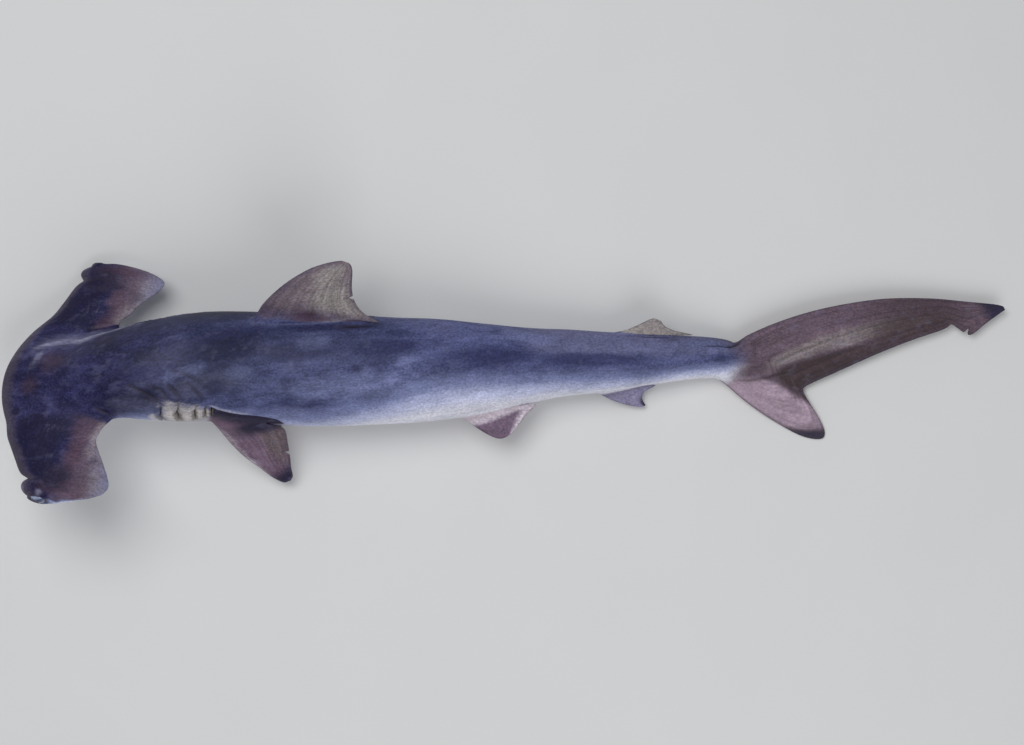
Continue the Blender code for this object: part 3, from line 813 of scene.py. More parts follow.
def layout_mesh(sheet):
    """The layout as a mesh, with each point's marks and each face's fineness."""
    mesh = bpy.data.meshes.new("layout")
    mesh.from_pydata(sheet.points, [], sheet.faces)
    names = list(FINS) + ["hammer", "tail"]
    marks = {name: [float(mark[0] == name) for mark in sheet.marks] for name in names}
    marks["chord"] = [mark[1] for mark in sheet.marks]
    marks["span"] = [mark[2] for mark in sheet.marks]
    for name, values in marks.items():
        mesh.attributes.new(name, "FLOAT", "POINT").data.foreach_set("value", values)
    points = np.array(sheet.points)
    centres = np.array([points[face].mean(0) for face in sheet.faces])
    level = mesh.attributes.new("level", "INT", "FACE")
    level.data.foreach_set("value", fineness(centres))
    clean(mesh)
    return mesh


def divided(layout, level):
    """Points, marks and quads of the smooth skin that are to be this fine."""
    smooth = layout.modifiers.new("smooth", "SUBSURF")
    smooth.levels = smooth.render_levels = level
    graph = bpy.context.evaluated_depsgraph_get()
    mesh = bpy.data.meshes.new_from_object(layout.evaluated_get(graph))
    layout.modifiers.remove(smooth)
    points = np.empty(len(mesh.vertices) * 3)
    mesh.vertices.foreach_get("co", points)
    quads = np.empty(len(mesh.loops), int)
    mesh.loops.foreach_get("vertex_index", quads)
    wanted = np.empty(len(mesh.polygons), int)
    mesh.attributes["level"].data.foreach_get("value", wanted)
    marks = {}
    for name in list(FINS) + ["hammer", "tail", "chord", "span"]:
        marks[name] = np.empty(len(mesh.vertices))
        mesh.attributes[name].data.foreach_get("value", marks[name])
    bpy.data.meshes.remove(mesh)
    return points.reshape(-1, 3), marks, quads.reshape(-1, 4)[wanted == level]


def rim_edges(quads):
    """The open edges of a set of quads, in the order that their quads go round."""
    ends = np.stack([quads, np.roll(quads, -1, axis=1)], 2).reshape(-1, 2)
    _, index, count = np.unique(np.sort(ends, 1), axis=0, return_inverse=True, return_counts=True)
    return ends[count[index.reshape(-1)] == 1]


def joined(parts):
    """The parts of different fineness as one list of points and faces, sharing their edges."""
    points = np.vstack([part[0] for part in parts])
    starts = np.cumsum([0] + [len(part[0]) for part in parts])
    quads = [part[2] + start for part, start in zip(parts, starts)]
    faces = []
    for number, part in enumerate(quads):
        split = {}
        if number + 1 < len(quads):
            split = split_points(points, rim_edges(part), np.unique(rim_edges(quads[number + 1])))
        for face in part.tolist():
            longer = []
            for a, b in zip(face, face[1:] + face[:1]):
                longer.append(a)
                if (a, b) in split:
                    longer.append(split[a, b])
            faces.append(longer)
    marks = {name: np.concatenate([part[1][name] for part in parts]) for name in parts[0][1]}
    return points, marks, faces


def split_points(points, edges, finer):
    """For each open edge, the point of the finer part that lies near its middle."""
    tree = KDTree(len(finer))
    for place, index in enumerate(finer):
        tree.insert(points[index], place)
    tree.balance()
    split = {}
    for a, b in edges.tolist():
        length = np.linalg.norm(points[a] - points[b])
        _, place, distance = tree.find((points[a] + points[b]) / 2)
        found = finer[place]
        ends = min(np.linalg.norm(points[found] - points[a]), np.linalg.norm(points[found] - points[b]))
        if distance < 0.3 * length and ends > 0.2 * length:
            split[a, b] = int(found)
    return split


def smooth_skin(sheet):
    """The whole skin as one closed mesh of the straight shark, and its marks."""
    layout = bpy.data.objects.new("layout", layout_mesh(sheet))
    bpy.context.scene.collection.objects.link(layout)
    points, marks, faces = joined([divided(layout, level) for level in (1, 2, 3)])
    bpy.data.objects.remove(layout)
    mesh = bpy.data.meshes.new("skin")
    mesh.from_pydata(points, [], faces)
    for name, values in marks.items():
        mesh.attributes.new(name, "FLOAT", "POINT").data.foreach_set("value", values)
    clean(mesh)
    return mesh


# Markings: where the slate of the back ends on the flank, as a turn round the body, and over how
# many degrees it fades.
flank_line = smooth_curve((
    (0, 118), (84, 118), (104, 109), (135, 105), (165, 112), (200, 124), (254, 130), (311, 114),
    (376, 103), (443, 112), (505, 118), (591, 114), (640, 112),
))
FLANK_FADE = 31.0
# How light the back is along the body: dark on the neck, lighter behind the first dorsal fin.
back_shade = smooth_curve((
    (0, 1), (70, 1), (102, 0.74), (160, 0.76), (300, 0.86), (350, 1.14), (500, 1.2), (620, 1.12),
    (860, 1),
))
# The crease over the pectoral fin's root, as a turn round the body.
crease_line = smooth_curve((
    (165, 92), (173, 96), (196, 109), (219, 115), (235, 122), (243, 134), (252, 142),
))
CREASE_DEPTH = 1.7
# Dark blotches on the crown: (u, v) of the middle and the spread in each direction.
HEAD_BLOTCHES = (
    (56, 72, 6, 5), (21, 37, 5, 4), (33, 48, 5, 4), (42, 43, 6, 4), (53, 60, 5, 8), (46, 74, 9, 4),
    (64, 46, 4, 4), (60, 86, 7, 5),
    (55, -70, 6, 6), (71, -43, 5, 6), (38, -56, 9, 8), (42, -70, 7, 9), (62, -92, 9, 4),
)
# Darker and paler places on the back and the flank: (u, turn) of the middle and the spreads.
DUSKY_PLACES = (
    (188, 28, 40, 22), (128, 62, 9, 7), (176, 70, 10, 8), (271, 15, 34, 5), (249, 41, 34, 9),
    (322, 44, 30, 9), (300, 61, 5, 4), (318, 69, 4, 6), (408, 66, 44, 13), (497, 72, 46, 12),
    (376, 74, 26, 8), (256, 93, 24, 7),
)
DARKEST_PLACES = ((186, 32, 30, 13), (128, 63, 9, 8))
WRINKLED_PLACES = ((122, 70, 30, 20), (165, 62, 34, 16))
# The paler places are painted sheen on the back and the flank.
SHEEN_PLACES = (
    (264, 31, 16, 9), (286, 78, 52, 12), (156, 48, 12, 8), (144, 50, 6, 8), (199, 57, 14, 7),
    (443, 34, 30, 12), (340, 60, 10, 6), (595, 38, 22, 18), (311, 86, 24, 7),
)
# Paler places of the lobes' rear margins, rosy ones on both lobes, dark red ones by the eyes, and
# reddish ones on the crown: (u, v) of the middle and the spreads.
PALE_ON_LOBES = ((92, -58, 9, 14), (98, 71, 8, 10), (97, 44, 6, 8))
ROSY_PLACES = ((82, 46, 12, 15), (84, 72, 8, 22), (84, 104, 26, 8))
MAROON_PLACES = ((73, 96, 17, 13), (68, -94, 20, 16))
BLUSHES = ((46, -6, 15, 11), (30, 14, 8, 12))
# Pale lid skin with a painted highlight over the eye and on the knob before it: the place, and the spreads.
LIT_LIDS = (((62.5, 110.5, 8), (3.4, 2.6, 3)), ((45, 109, 3), (4, 4, 5)))
# Where the crown is scuffed: (u, v) of the middle and the spreads.
SCUFFED_PLACES = (
    (52, 50, 17, 11), (28, 30, 9, 14), (66, 66, 8, 16), (60, -60, 12, 18), (70, -46, 12, 10),
    (60, -76, 12, 8),
)
# Purple flushes at the first dorsal fin's root: (u, height), then pale and olive middles of the
# first dorsal and the pectoral fins: (share of the chord, share of the span), with the spreads.
DORSAL_FLUSHES = ((257, 8, 11, 4), (262, 5, 22, 3), (297, 3, 12, 3))
DORSAL_PALE = ((0.7, 0.32, 0.34, 0.3), (0.45, 0.62, 0.3, 0.22))
PECTORAL_OLIVE = ((0.8, 0.3, 0.3, 0.3),)
# How high the first dorsal fin stands, in millimetres.
DORSAL_HEIGHT = 60
# Slack folds of the skin: places as (u, turn), then depth and width. The last three lie behind
# the dorsal fins' free tips and in the pit before the tail. The tail fin's fold has (u, w) places.
BODY_FOLDS = (
    (((112, 46), (121, 56), (135, 73)), 1.1, 1.4),
    (((140, 52), (146, 64), (150, 77)), 1.0, 1.3),
    (((115, 61), (128, 70), (139, 80)), 0.8, 1.2),
    (((152, 56), (161, 72), (167, 84)), 0.9, 1.2),
    (((143, 40), (154, 50), (168, 68)), 0.7, 1.4),
    (((126, 52), (136, 60), (143, 74)), 0.7, 1.2),
    (((84, 70), (92, 78), (99, 84)), 0.9, 1.3),
    (((281, 16), (290, 16), (303, 15), (318, 13)), 1.5, 1.6),
    (((543, 16), (553, 18), (568, 13)), 2.0, 1.3),
    (((592, 46), (606, 45), (616, 42), (622, 27), (627, 2)), 1.5, 1.2),
)
TAIL_FOLDS = ((((620, -19), (637, -20), (649, -18), (663, -15), (673, -12)), 1.1, 1.1),)
# About how many millimetres of skin one degree round the body is.
DEGREE_ON_SKIN = 0.75
# Fine rays: about this many across a fin's chord, each this much broken up along it.
FIN_RAYS = 15
RAY_BREAKS = 1.6
# Small tears in the fins' margins: the piece, the (u, w) place, the way in, and the depth.
NICKS = (
    ("dorsal_1", (295, 72.5), (-1, 0), 5.0),
    ("tail", (821, 20.6), (0.5, 0.87), 5.5),
    ("pectoral_left", (247.5, -64.5), (-1, 0.05), 4.5),
)
# The ridge over the nape, the fold beside it and its branch, as (u, v) places.
NAPE_RIDGE = (
    (24, -20), (30, -24), (42, -27), (57, -28.5), (68, -28), (80, -31), (94, -33.5), (106, -32),
    (120, -29),
)
NAPE_FOLD = ((50, -36), (66, -39.5), (81, -43), (92, -44.5))
NAPE_BRANCH = ((34, -25), (30, -14), (27, -3), (28, 8))
NAPE_RISE = 0.9

# Folds and openings of the skin, in millimetres.
GILL_DEPTH = 3.4
FLAP_RISE = 0.9
FLAP_REACH = 1.1
MOUTH_DEPTH = 3.2
MOUTH_FOLD_DEPTH = 1.1
NOSTRIL_DEPTH = 2.6
GROOVE_DEPTH = 0.8
# The eye's opening, as turns from the middle of the cornea to the lids along and across the head,
# the gap between the eyeball and the skin over it, and the rise of the lid.
EYE_OPENING = (57.0, 56.0)
EYE_ROOM = 0.45
LID_RISE = 0.6
# The cornea: its rise as a share of the eyeball's radius, and its reach as a turn. The pupil: its
# half width and half height as shares of the radius.
CORNEA_RISE = 0.045
CORNEA_REACH = 30
PUPIL_HALVES = (0.40, 0.30)


def read_points(mesh):
    flat = np.empty(len(mesh.vertices) * 3)
    mesh.vertices.foreach_get("co", flat)
    return flat.reshape(-1, 3)


def write_points(mesh, points):
    mesh.vertices.foreach_set("co", np.asarray(points, np.float32).ravel())
    mesh.update()


def read_normals(mesh):
    flat = np.empty(len(mesh.vertices) * 3, np.float32)
    mesh.vertex_normals.foreach_get("vector", flat)
    return flat.reshape(-1, 3).astype(float)


def read_mark(mesh, name):
    values = np.empty(len(mesh.vertices))
    mesh.attributes[name].data.foreach_get("value", values)
    return values


def write_mark(mesh, name, values):
    if name not in mesh.attributes:
        mesh.attributes.new(name, "FLOAT", "POINT")
    mesh.attributes[name].data.foreach_set("value", np.clip(values, 0, 1))


def write_places(mesh, name, places):
    mesh.attributes.new(name, "FLOAT_VECTOR", "POINT")
    mesh.attributes[name].data.foreach_set("vector", places.astype(np.float32).ravel())


def noise_at(places, seed=0.0):
    """Smooth noise of about -0.5 to 0.5 at each place, given in units of its grain."""
    shift = Vector((seed, seed * 0.7, -seed))
    return np.array([noise.noise(Vector(p) + shift) for p in places]) / 2


def path_distance(points, path):
    """How far each point lies from a path, and its share along it."""
    path = np.asarray(path, float)
    low, high = path.min(0) - 8, path.max(0) + 8
    near = np.flatnonzero(((points > low) & (points < high)).all(1))
    distance = np.full(len(points), 1e3)
    share = np.zeros(len(points))
    if len(near):
        gaps = np.linalg.norm(points[near, None] - path[None], axis=2)
        distance[near] = gaps.min(1)
        share[near] = gaps.argmin(1) / (len(path) - 1)
    return distance, share


def gill_slits(points):
    """For each slit, how far points lie behind it, and their share of its length from its top."""
    turn = np.degrees(body_turn(points)[0])
    for number, (place, start, end) in enumerate(GILLS):
        share = (turn - start) / (end - start)
        ragged = 0.4 * np.sin(9 * share + number) + 0.35 * np.sin(21 * share + 2.3 * number)
        yield points[:, 0] - place - 1.6 * (2 * share - 1) ** 2 + 0.8 - ragged, share


def cut_gills(points, normals, hollow_shade):
    """Five slits on each side, each behind a flap that stands up and hangs over it."""
    moved = np.zeros_like(points)
    for d, share in gill_slits(points):
        inside = np.sqrt(np.clip(np.sin(np.pi * np.clip(share, 0, 1)), 0, 1))
        flap = FLAP_RISE * hump(np.minimum(d + 1.2, 0), 0, 3.4) * hump(np.maximum(d + 1.2, 0), 0, 1.1)
        slit = -GILL_DEPTH * hump(d, 0.7, 0.95)
        behind = -0.7 * hump(d, 3.2, 2.2)
        moved += normals * ((flap + slit + behind) * inside)[:, None]
        moved[:, 0] += FLAP_REACH * hump(d, -0.5, 0.9) * inside
        # Painted shade darkens the inside of each slit.
        hollow_shade[:] = np.maximum(hollow_shade, hump(d, 0.8, 1.0) * inside * (0.35 + 0.6 * ease(0.15, 0.6, share)))
    return moved


def cut_mouth(points, normals, hollow_shade):
    """A crescent under the head with a lip before and behind it, and a fold at each corner."""
    u, v, w = points.T
    reach = v / MOUTH_HALF
    under = (w < -3).astype(float)
    inside = np.sqrt(np.clip(1 - reach**2, 0, 1)) * under
    d = (u - MOUTH_MIDDLE - (MOUTH_CORNER - MOUTH_MIDDLE) * reach**2)
    d = d / np.sqrt(1 + (1.8 * reach) ** 2)
    cut = -MOUTH_DEPTH * hump(d, 0.3, 1.7) * inside
    lips = (0.8 * hump(d, 3.6, 2.4) + 0.9 * hump(d, -2.6, 1.6)) * np.clip(1.15 - reach**2, 0, 1) * under
    # Painted shade darkens the mouth's crescent.
    hollow_shade[:] = np.maximum(hollow_shade, hump(d, 0.3, 1.3) * inside)
    moved = normals * (cut + lips)[:, None]
    for side in (1, -1):
        fold = [(back_from, side * aside, 0) for back_from, aside in np.linspace(*MOUTH_FOLD, 24)]
        flat = points * (1, 1, 0)
        distance, share = path_distance(flat, fold)
        along = np.sin(np.pi * np.clip(share, 0, 1)) * under
        moved -= normals * (MOUTH_FOLD_DEPTH * hump(distance, 0, 1.1) * along)[:, None]
    return moved


def cut_nostrils(points, normals, hollow_shade):
    """A slit in the front edge by each eye, and the long groove that runs inward from it."""
    moved = np.zeros_like(points)
    for side in (1, -1):
        ks = np.linspace(*NOSTRIL_SLIT, 40)
        slit = [(hammer_front(k)[1] + 0.6, side * hammer_front(k)[0], -1.4) for k in ks]
        distance, share = path_distance(points, slit)
        depth = hump(distance, 0, 1.6) * np.sin(np.pi * share)
        moved -= normals * (NOSTRIL_DEPTH * depth)[:, None]
        # Painted shade darkens the nostril's slit.
        hollow_shade[:] = np.maximum(hollow_shade, depth)
        ks = np.linspace(*NOSTRIL_GROOVE, 70)
        groove = [(hammer_front(k)[1] + 0.8, side * hammer_front(k)[0], -2.6) for k in ks]
        distance, share = path_distance(points, groove)
        depth = hump(distance, 0, 1.3) * np.clip(share * 1.6, 0, 1)
        moved -= normals * (GROOVE_DEPTH * depth)[:, None]
        # Painted shade darkens the groove, more faintly.
        hollow_shade[:] = np.maximum(hollow_shade, 0.45 * depth)
    return moved


def open_eyes(points):
    """Presses the skin inside the eyeball where the eye shows, with a raised lid round it."""
    for side in (1, -1):
        centre = np.array(EYE_PLACE) * (1, side, 1)
        away = points - centre
        radius = np.linalg.norm(away, axis=1)
        near = np.flatnonzero(radius < EYE_RADIUS + 6)
        out = away[near] * (1, side, 1)
        r = radius[near]
        flat = np.hypot(out[:, 0], out[:, 2])
        angle = np.degrees(np.arctan2(flat, out[:, 1]))
        round_eye = np.arctan2(out[:, 2], out[:, 0])
        long_way, short_way = EYE_OPENING
        rim = 1 / np.sqrt((np.cos(round_eye) / long_way) ** 2 + (np.sin(round_eye) / short_way) ** 2)
        on_rim = (angle > rim - 2.0) & (angle < rim + 3.2)
        angle = np.where(on_rim, rim + 0.6, angle)
        outside = np.maximum(r, EYE_RADIUS + EYE_ROOM) + LID_RISE * hump(angle, rim, 9)
        r_new = np.where(angle < rim, 0.84 * EYE_RADIUS, outside)
        a = np.radians(angle)
        new = np.stack([np.sin(a) * np.cos(round_eye), np.cos(a) * side, np.sin(a) * np.sin(round_eye)], 1)
        points[near] = centre + new * r_new[:, None]
    return points


def wrinkle(points, normals, body):
    """Slack folds by the gills and the nape, and a broad unevenness all along the body."""
    u, v, w = points.T
    turn = body_turn(points)[0]
    broad = noise_at(np.stack([u / 42, v / 26, w / 26], 1), 3.1) * 1.5
    slack = hump(u, 158, 34) * hump(np.degrees(turn), 74, 34) + 0.5 * hump(u, 112, 18)
    lines = noise_at(np.stack([(u + 1.1 * w) / 6.0, turn * 1.6, 0 * u + 4], 1), 7.7)
    folds = (1 - np.abs(lines) * 4).clip(0, 1) ** 2 * -0.55 + noise_at(points / 9, 5.0) * 0.8
    return normals * ((broad * ease(20, 70, u) + folds * slack) * body)[:, None]


def cut_folds(points, normals, hollow_shade, on_body, tail):
    """Slack folds on the neck and in front of the tail, and the crease over its lower lobe."""
    u, v, w = points.T
    unrolled = np.stack([u, np.degrees(body_turn(points)[0]) * DEGREE_ON_SKIN, 0 * u], 1)
    side_on = np.stack([u, w, 0 * u], 1)
    moved = np.zeros_like(points)
    for folds, places, where, scale in (
        (BODY_FOLDS, unrolled, on_body * (np.abs(v) < 47), (1, DEGREE_ON_SKIN)),
        (TAIL_FOLDS, side_on, tail, (1, 1)),
    ):
        for path, depth, wide in folds:
            distance, share = path_distance(places, densely(np.array(path) * scale))
            along = np.sqrt(np.sin(np.pi * np.clip(share, 0, 1))) * where
            groove = hump(distance, 0, wide) * along
            lip = 0.4 * hump(distance, 2.3 * wide, wide) * along
            moved += normals * (depth * (lip - groove))[:, None]
            # Painted shade darkens each groove.
            hollow_shade[:] = np.maximum(hollow_shade, 0.6 * depth * groove)
    return moved


def tear_margins(mesh, points):
    """Pulls the margins in at the small tears."""
    for piece, place, inward, depth in NICKS:
        inward = np.array(inward) / np.linalg.norm(inward)
        away = points[:, [0, 2]] - place
        along = away @ inward
        across = away @ (-inward[1], inward[0])
        pull = depth * hump(along, 0, 7) * hump(across, 0, 1.1) * read_mark(mesh, piece)
        points[:, [0, 2]] += pull[:, None] * inward
    return points


def below_crease(points):
    """How far points of the trunk lie below the crease over the pectoral's root, in millimetres,
    and how much of the crease there is at their distance from the snout."""
    u = points[:, 0]
    gap = (np.degrees(body_turn(points)[0]) - crease_line(u)) * 0.8
    return gap, ease(164, 178, u) * (1 - ease(240, 254, u))


def fold_crease(points, normals):
    """The fold where the flank hangs over the pectoral fin's root."""
    gap, share = below_crease(points)
    fold = 0.9 * hump(gap, -4.2, 3.2) - CREASE_DEPTH * hump(gap, 0.6, 1.7)
    return normals * (fold * share)[:, None]


def raise_nape(points, normals):
    """A fine ridge of skin over the nape with its branch, and the fold by the far lobe."""
    moved = np.zeros_like(points)
    for path, wide, height in ((NAPE_RIDGE, 1.9, 1.0), (NAPE_BRANCH, 1.4, 1.0), (NAPE_FOLD, 1.5, -1.3)):
        distance, share = path_distance(points * (1, 1, 0), densely(path))
        rise = (NAPE_RISE * hump(distance, 0, wide) - 0.5 * hump(distance, 3.4, 1.6)) * height
        moved += normals * (rise * np.sin(np.pi * np.clip(share, 0.02, 0.98)) * (points[:, 2] > 0))[:, None]
    return moved


def fin_mask(mesh):
    return sum(read_mark(mesh, name) for name in FINS)


def pair_mask(mesh, name):
    return read_mark(mesh, f"{name}_left") + read_mark(mesh, f"{name}_right")


def carve(mesh):
    """Cuts the openings and folds of the straight shark, and marks what the colours follow."""
    points = read_points(mesh)
    normals = read_normals(mesh)
    straight = points.copy()
    fins = np.clip(fin_mask(mesh), 0, 1)
    tail = read_mark(mesh, "tail")
    # How much painted shade darkens each point: deep in the slits, the mouth, the nostrils and the folds.
    hollow_shade = np.zeros(len(points))
    moved = wrinkle(points, normals, (1 - fins) * (1 - tail))
    on_neck = (1 - fins) * (points[:, 0] < 200)
    moved += cut_gills(points, normals, hollow_shade) * on_neck[:, None]
    moved += cut_mouth(points, normals, hollow_shade)
    moved += raise_nape(points, normals)
    moved += cut_folds(points, normals, hollow_shade, 1 - fins, tail)
    moved += fold_crease(points, normals) * (1 - fins)[:, None]
    moved += cut_nostrils(points, normals, hollow_shade)
    points = tear_margins(mesh, open_eyes(points + moved))
    write_points(mesh, points)
    write_mark(mesh, "hollow_shade", hollow_shade)
    mark_colours(mesh, straight, normals, fins, tail)
    write_places(mesh, "straight", straight * MM)
    mark_rays(mesh, fins, tail)


def mark_rays(mesh, fins, tail):
    """Where the fins show fine rays, faint on the small fins, and the places that they follow."""
    chord, span = read_mark(mesh, "chord"), read_mark(mesh, "span")
    small = pair_mask(mesh, "pelvic") + read_mark(mesh, "dorsal_2") + read_mark(mesh, "anal")
    rayed = fins - 0.6 * small + tail * ease(0.10, 0.25, span)
    write_mark(mesh, "rayed", rayed * ease(0.02, 0.15, span))
    write_places(mesh, "rays", np.stack([chord * FIN_RAYS, span * RAY_BREAKS, 0 * span], 1))


def spots(across, along, places):
    """The strongest of several round spots, each (middle across, middle along, width, length)."""
    found = np.zeros(len(across))
    for x, y, wide, long in places:
        found = np.maximum(found, hump(across, x, wide) * hump(along, y, long))
    return found


def mark_head(mesh, points, normals):
    """Where the head shows its dark crown, its mauve margins, its blotches, and the pale streak with its
    painted highlight along its ridge.
    """
    u, v, w = points.T
    away = np.abs(v)
    chord = read_mark(mesh, "chord")
    hammer = read_mark(mesh, "hammer")
    top = ease(-0.25, 0.15, normals[:, 2])
    lobe = ease(34, 52, away) * hammer
    write_mark(mesh, "crown", (1 - ease(84, 216, u)) * (top * hammer + 1 - hammer))
    write_mark(mesh, "scuffed", spots(u, v, SCUFFED_PLACES) * (w > 0))
    write_mark(mesh, "rim", (1 - ease(0.03, 0.24, chord)) * hammer * top)
    write_mark(mesh, "lobe_dark", lobe * ease(0.08, 0.22, chord) * (1 - ease(58, 80, u)) * top)
    write_mark(mesh, "mauve", lobe * ease(60, 100, u + 0.1 * (away - 80)))
    pale = np.maximum(ease(86, 116, u) * ease(52, 92, away), 0.8 * spots(u, v, PALE_ON_LOBES))
    write_mark(mesh, "lobe_pale", lobe * np.maximum(pale, 0.9 * ease(0.88, 0.99, chord)))
    # Pale lid skin with a painted highlight over it.
    pale_lids_and_highlights = np.zeros(len(points))
    for place, reach in LIT_LIDS:
        apart = (points - place) / reach
        pale_lids_and_highlights = np.maximum(pale_lids_and_highlights, np.exp(-(apart**2).sum(1)))
    write_mark(mesh, "pale_lids_and_highlights", pale_lids_and_highlights)
    write_mark(mesh, "rosy", spots(u, away, ROSY_PLACES) * top * hammer)
    write_mark(mesh, "maroon", spots(u, v, MAROON_PLACES) * top * hammer)
    write_mark(mesh, "blotch", 1.25 * spots(u, v, HEAD_BLOTCHES) * (w > 0))
    # A pale streak along the nape ridge and its branch, mostly a painted highlight of the wet ridge.
    ridge, share = path_distance(points * (1, 1, 0), densely(NAPE_RIDGE))
    branch, along = path_distance(points * (1, 1, 0), densely(NAPE_BRANCH))
    line = (0.6 * hump(ridge, 0, 2.2) + 0.45 * hump(ridge, 0, 5.5)) * (0.4 + 0.6 * np.sin(np.pi * share))
    twig = 0.45 * hump(branch, 0, 2.8) * (1 - ease(0.4, 0.85, along))
    write_mark(mesh, "ridge", np.maximum(line, twig) * (w > 0))
    write_mark(mesh, "blush", spots(u, v, BLUSHES) * (w > 0))


def mark_paired_fins(mesh, points, normals, fins, tail):
    """The pectoral and the pelvic fins: paler towards some margins, the pectorals dark at their tips and
    with painted shade at their roots. The painted shade goes up to the crease, whose lip has a painted
    highlight."""
    u, v, _ = points.T
    chord, span = read_mark(mesh, "chord"), read_mark(mesh, "span")
    pectoral, pelvic, anal = pair_mask(mesh, "pectoral"), pair_mask(mesh, "pelvic"), read_mark(mesh, "anal")
    reached = ease(0.0, 0.14, span)
    gap, creased = below_crease(points)
    turn = np.degrees(body_turn(points)[0])
    over_root = creased * (1 - fins) * ease(-1.0, 1.0, gap) * (1 - tail) * (1 - ease(130, 138, turn))
    write_mark(mesh, "limb", 0.75 * pelvic * reached + pectoral + over_root)
    # A painted highlight on the lip of the crease.
    write_mark(mesh, "lip", creased * hump(gap, -3.4, 2.4) * (1 - ease(192, 222, u)) * (1 - fins))
    pelvic_pale = pelvic * np.maximum(ease(0.5, 1, chord), 1 - ease(0.1, 0.4, span))
    pectoral_pale = 0.5 * pectoral * (1 - ease(0.0, 0.3, chord)) * reached
    write_mark(mesh, "limb_pale", pelvic_pale + pectoral_pale)
    # Painted shade at the pectoral's root and under the crease that hangs over it.
    root_shade = pectoral * (1 - ease(0.04, 0.30, span)) * ease(182, 214, u)
    root_shade += over_root * hump(np.maximum(gap, 0), 0, 17)
    tips_dark = 0.88 * pectoral * ease(0.5, 0.9, span + 0.12 * chord)
    tips_dark += 0.8 * anal * ease(0.4, 0.95, span) * ease(0.2, 0.7, chord)
    write_mark(mesh, "dark_tips_and_root_shade", tips_dark + root_shade)
    write_mark(mesh, "olive", pectoral * spots(chord, span, PECTORAL_OLIVE))
    inner = ease(0.3, 0.8, -normals[:, 1] * np.sign(v)) * (pectoral + pelvic)
    write_mark(mesh, "inner", inner * reached)


def mark_single_fins(mesh, points):
    """The dorsal fins with their pale middles and purple roots, and the anal fin."""
    chord, span = read_mark(mesh, "chord"), read_mark(mesh, "span")
    first, second, anal = (read_mark(mesh, name) for name in ("dorsal_1", "dorsal_2", "anal"))
    reached = ease(0.0, 0.14, span)
    write_mark(mesh, "dorsal", (first + second) * ease(-0.02, 0.24, span))
    base = 0.75 * first * reached * (1 - ease(0.12, 0.42, span)) * (1 - 0.3 * chord)
    leading = 0.5 * first * (1 - ease(0.0, 0.3, chord))
    write_mark(mesh, "dorsal_root", np.maximum(base, leading))
    write_mark(mesh, "flush", first * spots(points[:, 0], span * DORSAL_HEIGHT, DORSAL_FLUSHES))
    pale = first * spots(chord, span, DORSAL_PALE) + second * 0.8 * reached
    write_mark(mesh, "dorsal_pale", pale)
    write_mark(mesh, "lilac", anal * reached)


def mark_tail(mesh, points, tail):
    """The tail fin: mauve, with a pale band behind its muscle, a dusky blade under it, a pale lower
    lobe and dark tips."""
    u, _, w = points.T
    over = w - tail_axis(np.clip(u, TAIL_START, TAIL_END))
    slant = w + 18 + 0.6 * (u - 650)
    lower = ease(-12, -24, w) * ease(6, -8, slant) * ease(605, 624, u)
    band = hump(over, -11 + 0.03 * (u - 700), 8.0) * ease(632, 672, u) * (1 - ease(748, 806, u))
    blade = ease(-15, -25, over) * ease(640, 672, u) * ease(-4, 10, slant)
    rear = ease(700, 770, u) * (1 - 0.55 * ease(796, 826, u)) * (0.6 + 0.3 * ease(2, -8, over))
    tips = np.maximum(ease(822, 850, u + 0.6 * (w - 40)), 0.85 * ease(-57, -69, w))
    write_mark(mesh, "tail_mauve", tail * ease(600, 652, u + 0.3 * np.abs(w)))
    write_mark(mesh, "tail_lower", tail * lower * (1 - ease(-54, -71, w)))
    write_mark(mesh, "tail_band", tail * band)
    write_mark(mesh, "tail_under", tail * np.maximum(blade, rear))
    write_mark(mesh, "tail_tip", tail * tips)


def mark_edges(mesh, fins, tail):
    """The thin dark edges of all fins."""
    chord, span = read_mark(mesh, "chord"), read_mark(mesh, "span")
    edge = np.maximum(ease(0.9, 1.0, chord), 1 - ease(0.0, 0.05, chord)) * np.clip(fins + tail, 0, 1)
    write_mark(mesh, "edge", edge * ease(0.15, 0.4, span + tail))


def densely(path):
    """A path through a few (u, v) places, as many points on the plane w = 0."""
    path = np.array(path, float)
    k = np.linspace(0, len(path) - 1, 30 * len(path))
    u, v = (np.interp(k, np.arange(len(path)), column) for column in path.T)
    return np.stack([u, v, 0 * u], 1)


def mark_gills(mesh, points, fins):
    """The cream patch round the gill slits, the flaps before them, their yellowish rims, and painted shade
    just behind each slit.
    """
    u = points[:, 0]
    turn = np.degrees(body_turn(points)[0])
    ragged = 5 * noise_at(points / 6, 8.0)
    patch = ease(129, 142, u + ragged) * (1 - ease(164, 180, u + ragged))
    top = 73 + 0.62 * (u - 133)
    patch = patch * ease(top - 12, top + 11, turn + ragged * 2) * (1 - ease(114, 140, turn))
    write_mark(mesh, "cream", patch * (1 - fins))
    flaps, rims_and_shade = np.zeros((2, len(points)))
    for d, share in gill_slits(points):
        low = ease(0.0, 0.5, share) * (1 - ease(0.9, 1.1, share))
        flaps = np.maximum(flaps, hump(d, -4.5, 3.2) * low)
        # Yellowish rims at the flaps' edges, and painted shade just behind each slit.
        rims_and_shade = np.maximum(rims_and_shade, np.maximum(hump(d, -0.9, 0.9), 0.8 * hump(d, 2.6, 1.3)) * low)
    write_mark(mesh, "gill_flap", flaps * (1 - fins))
    write_mark(mesh, "gill_rim_and_shade", rims_and_shade * (1 - fins))


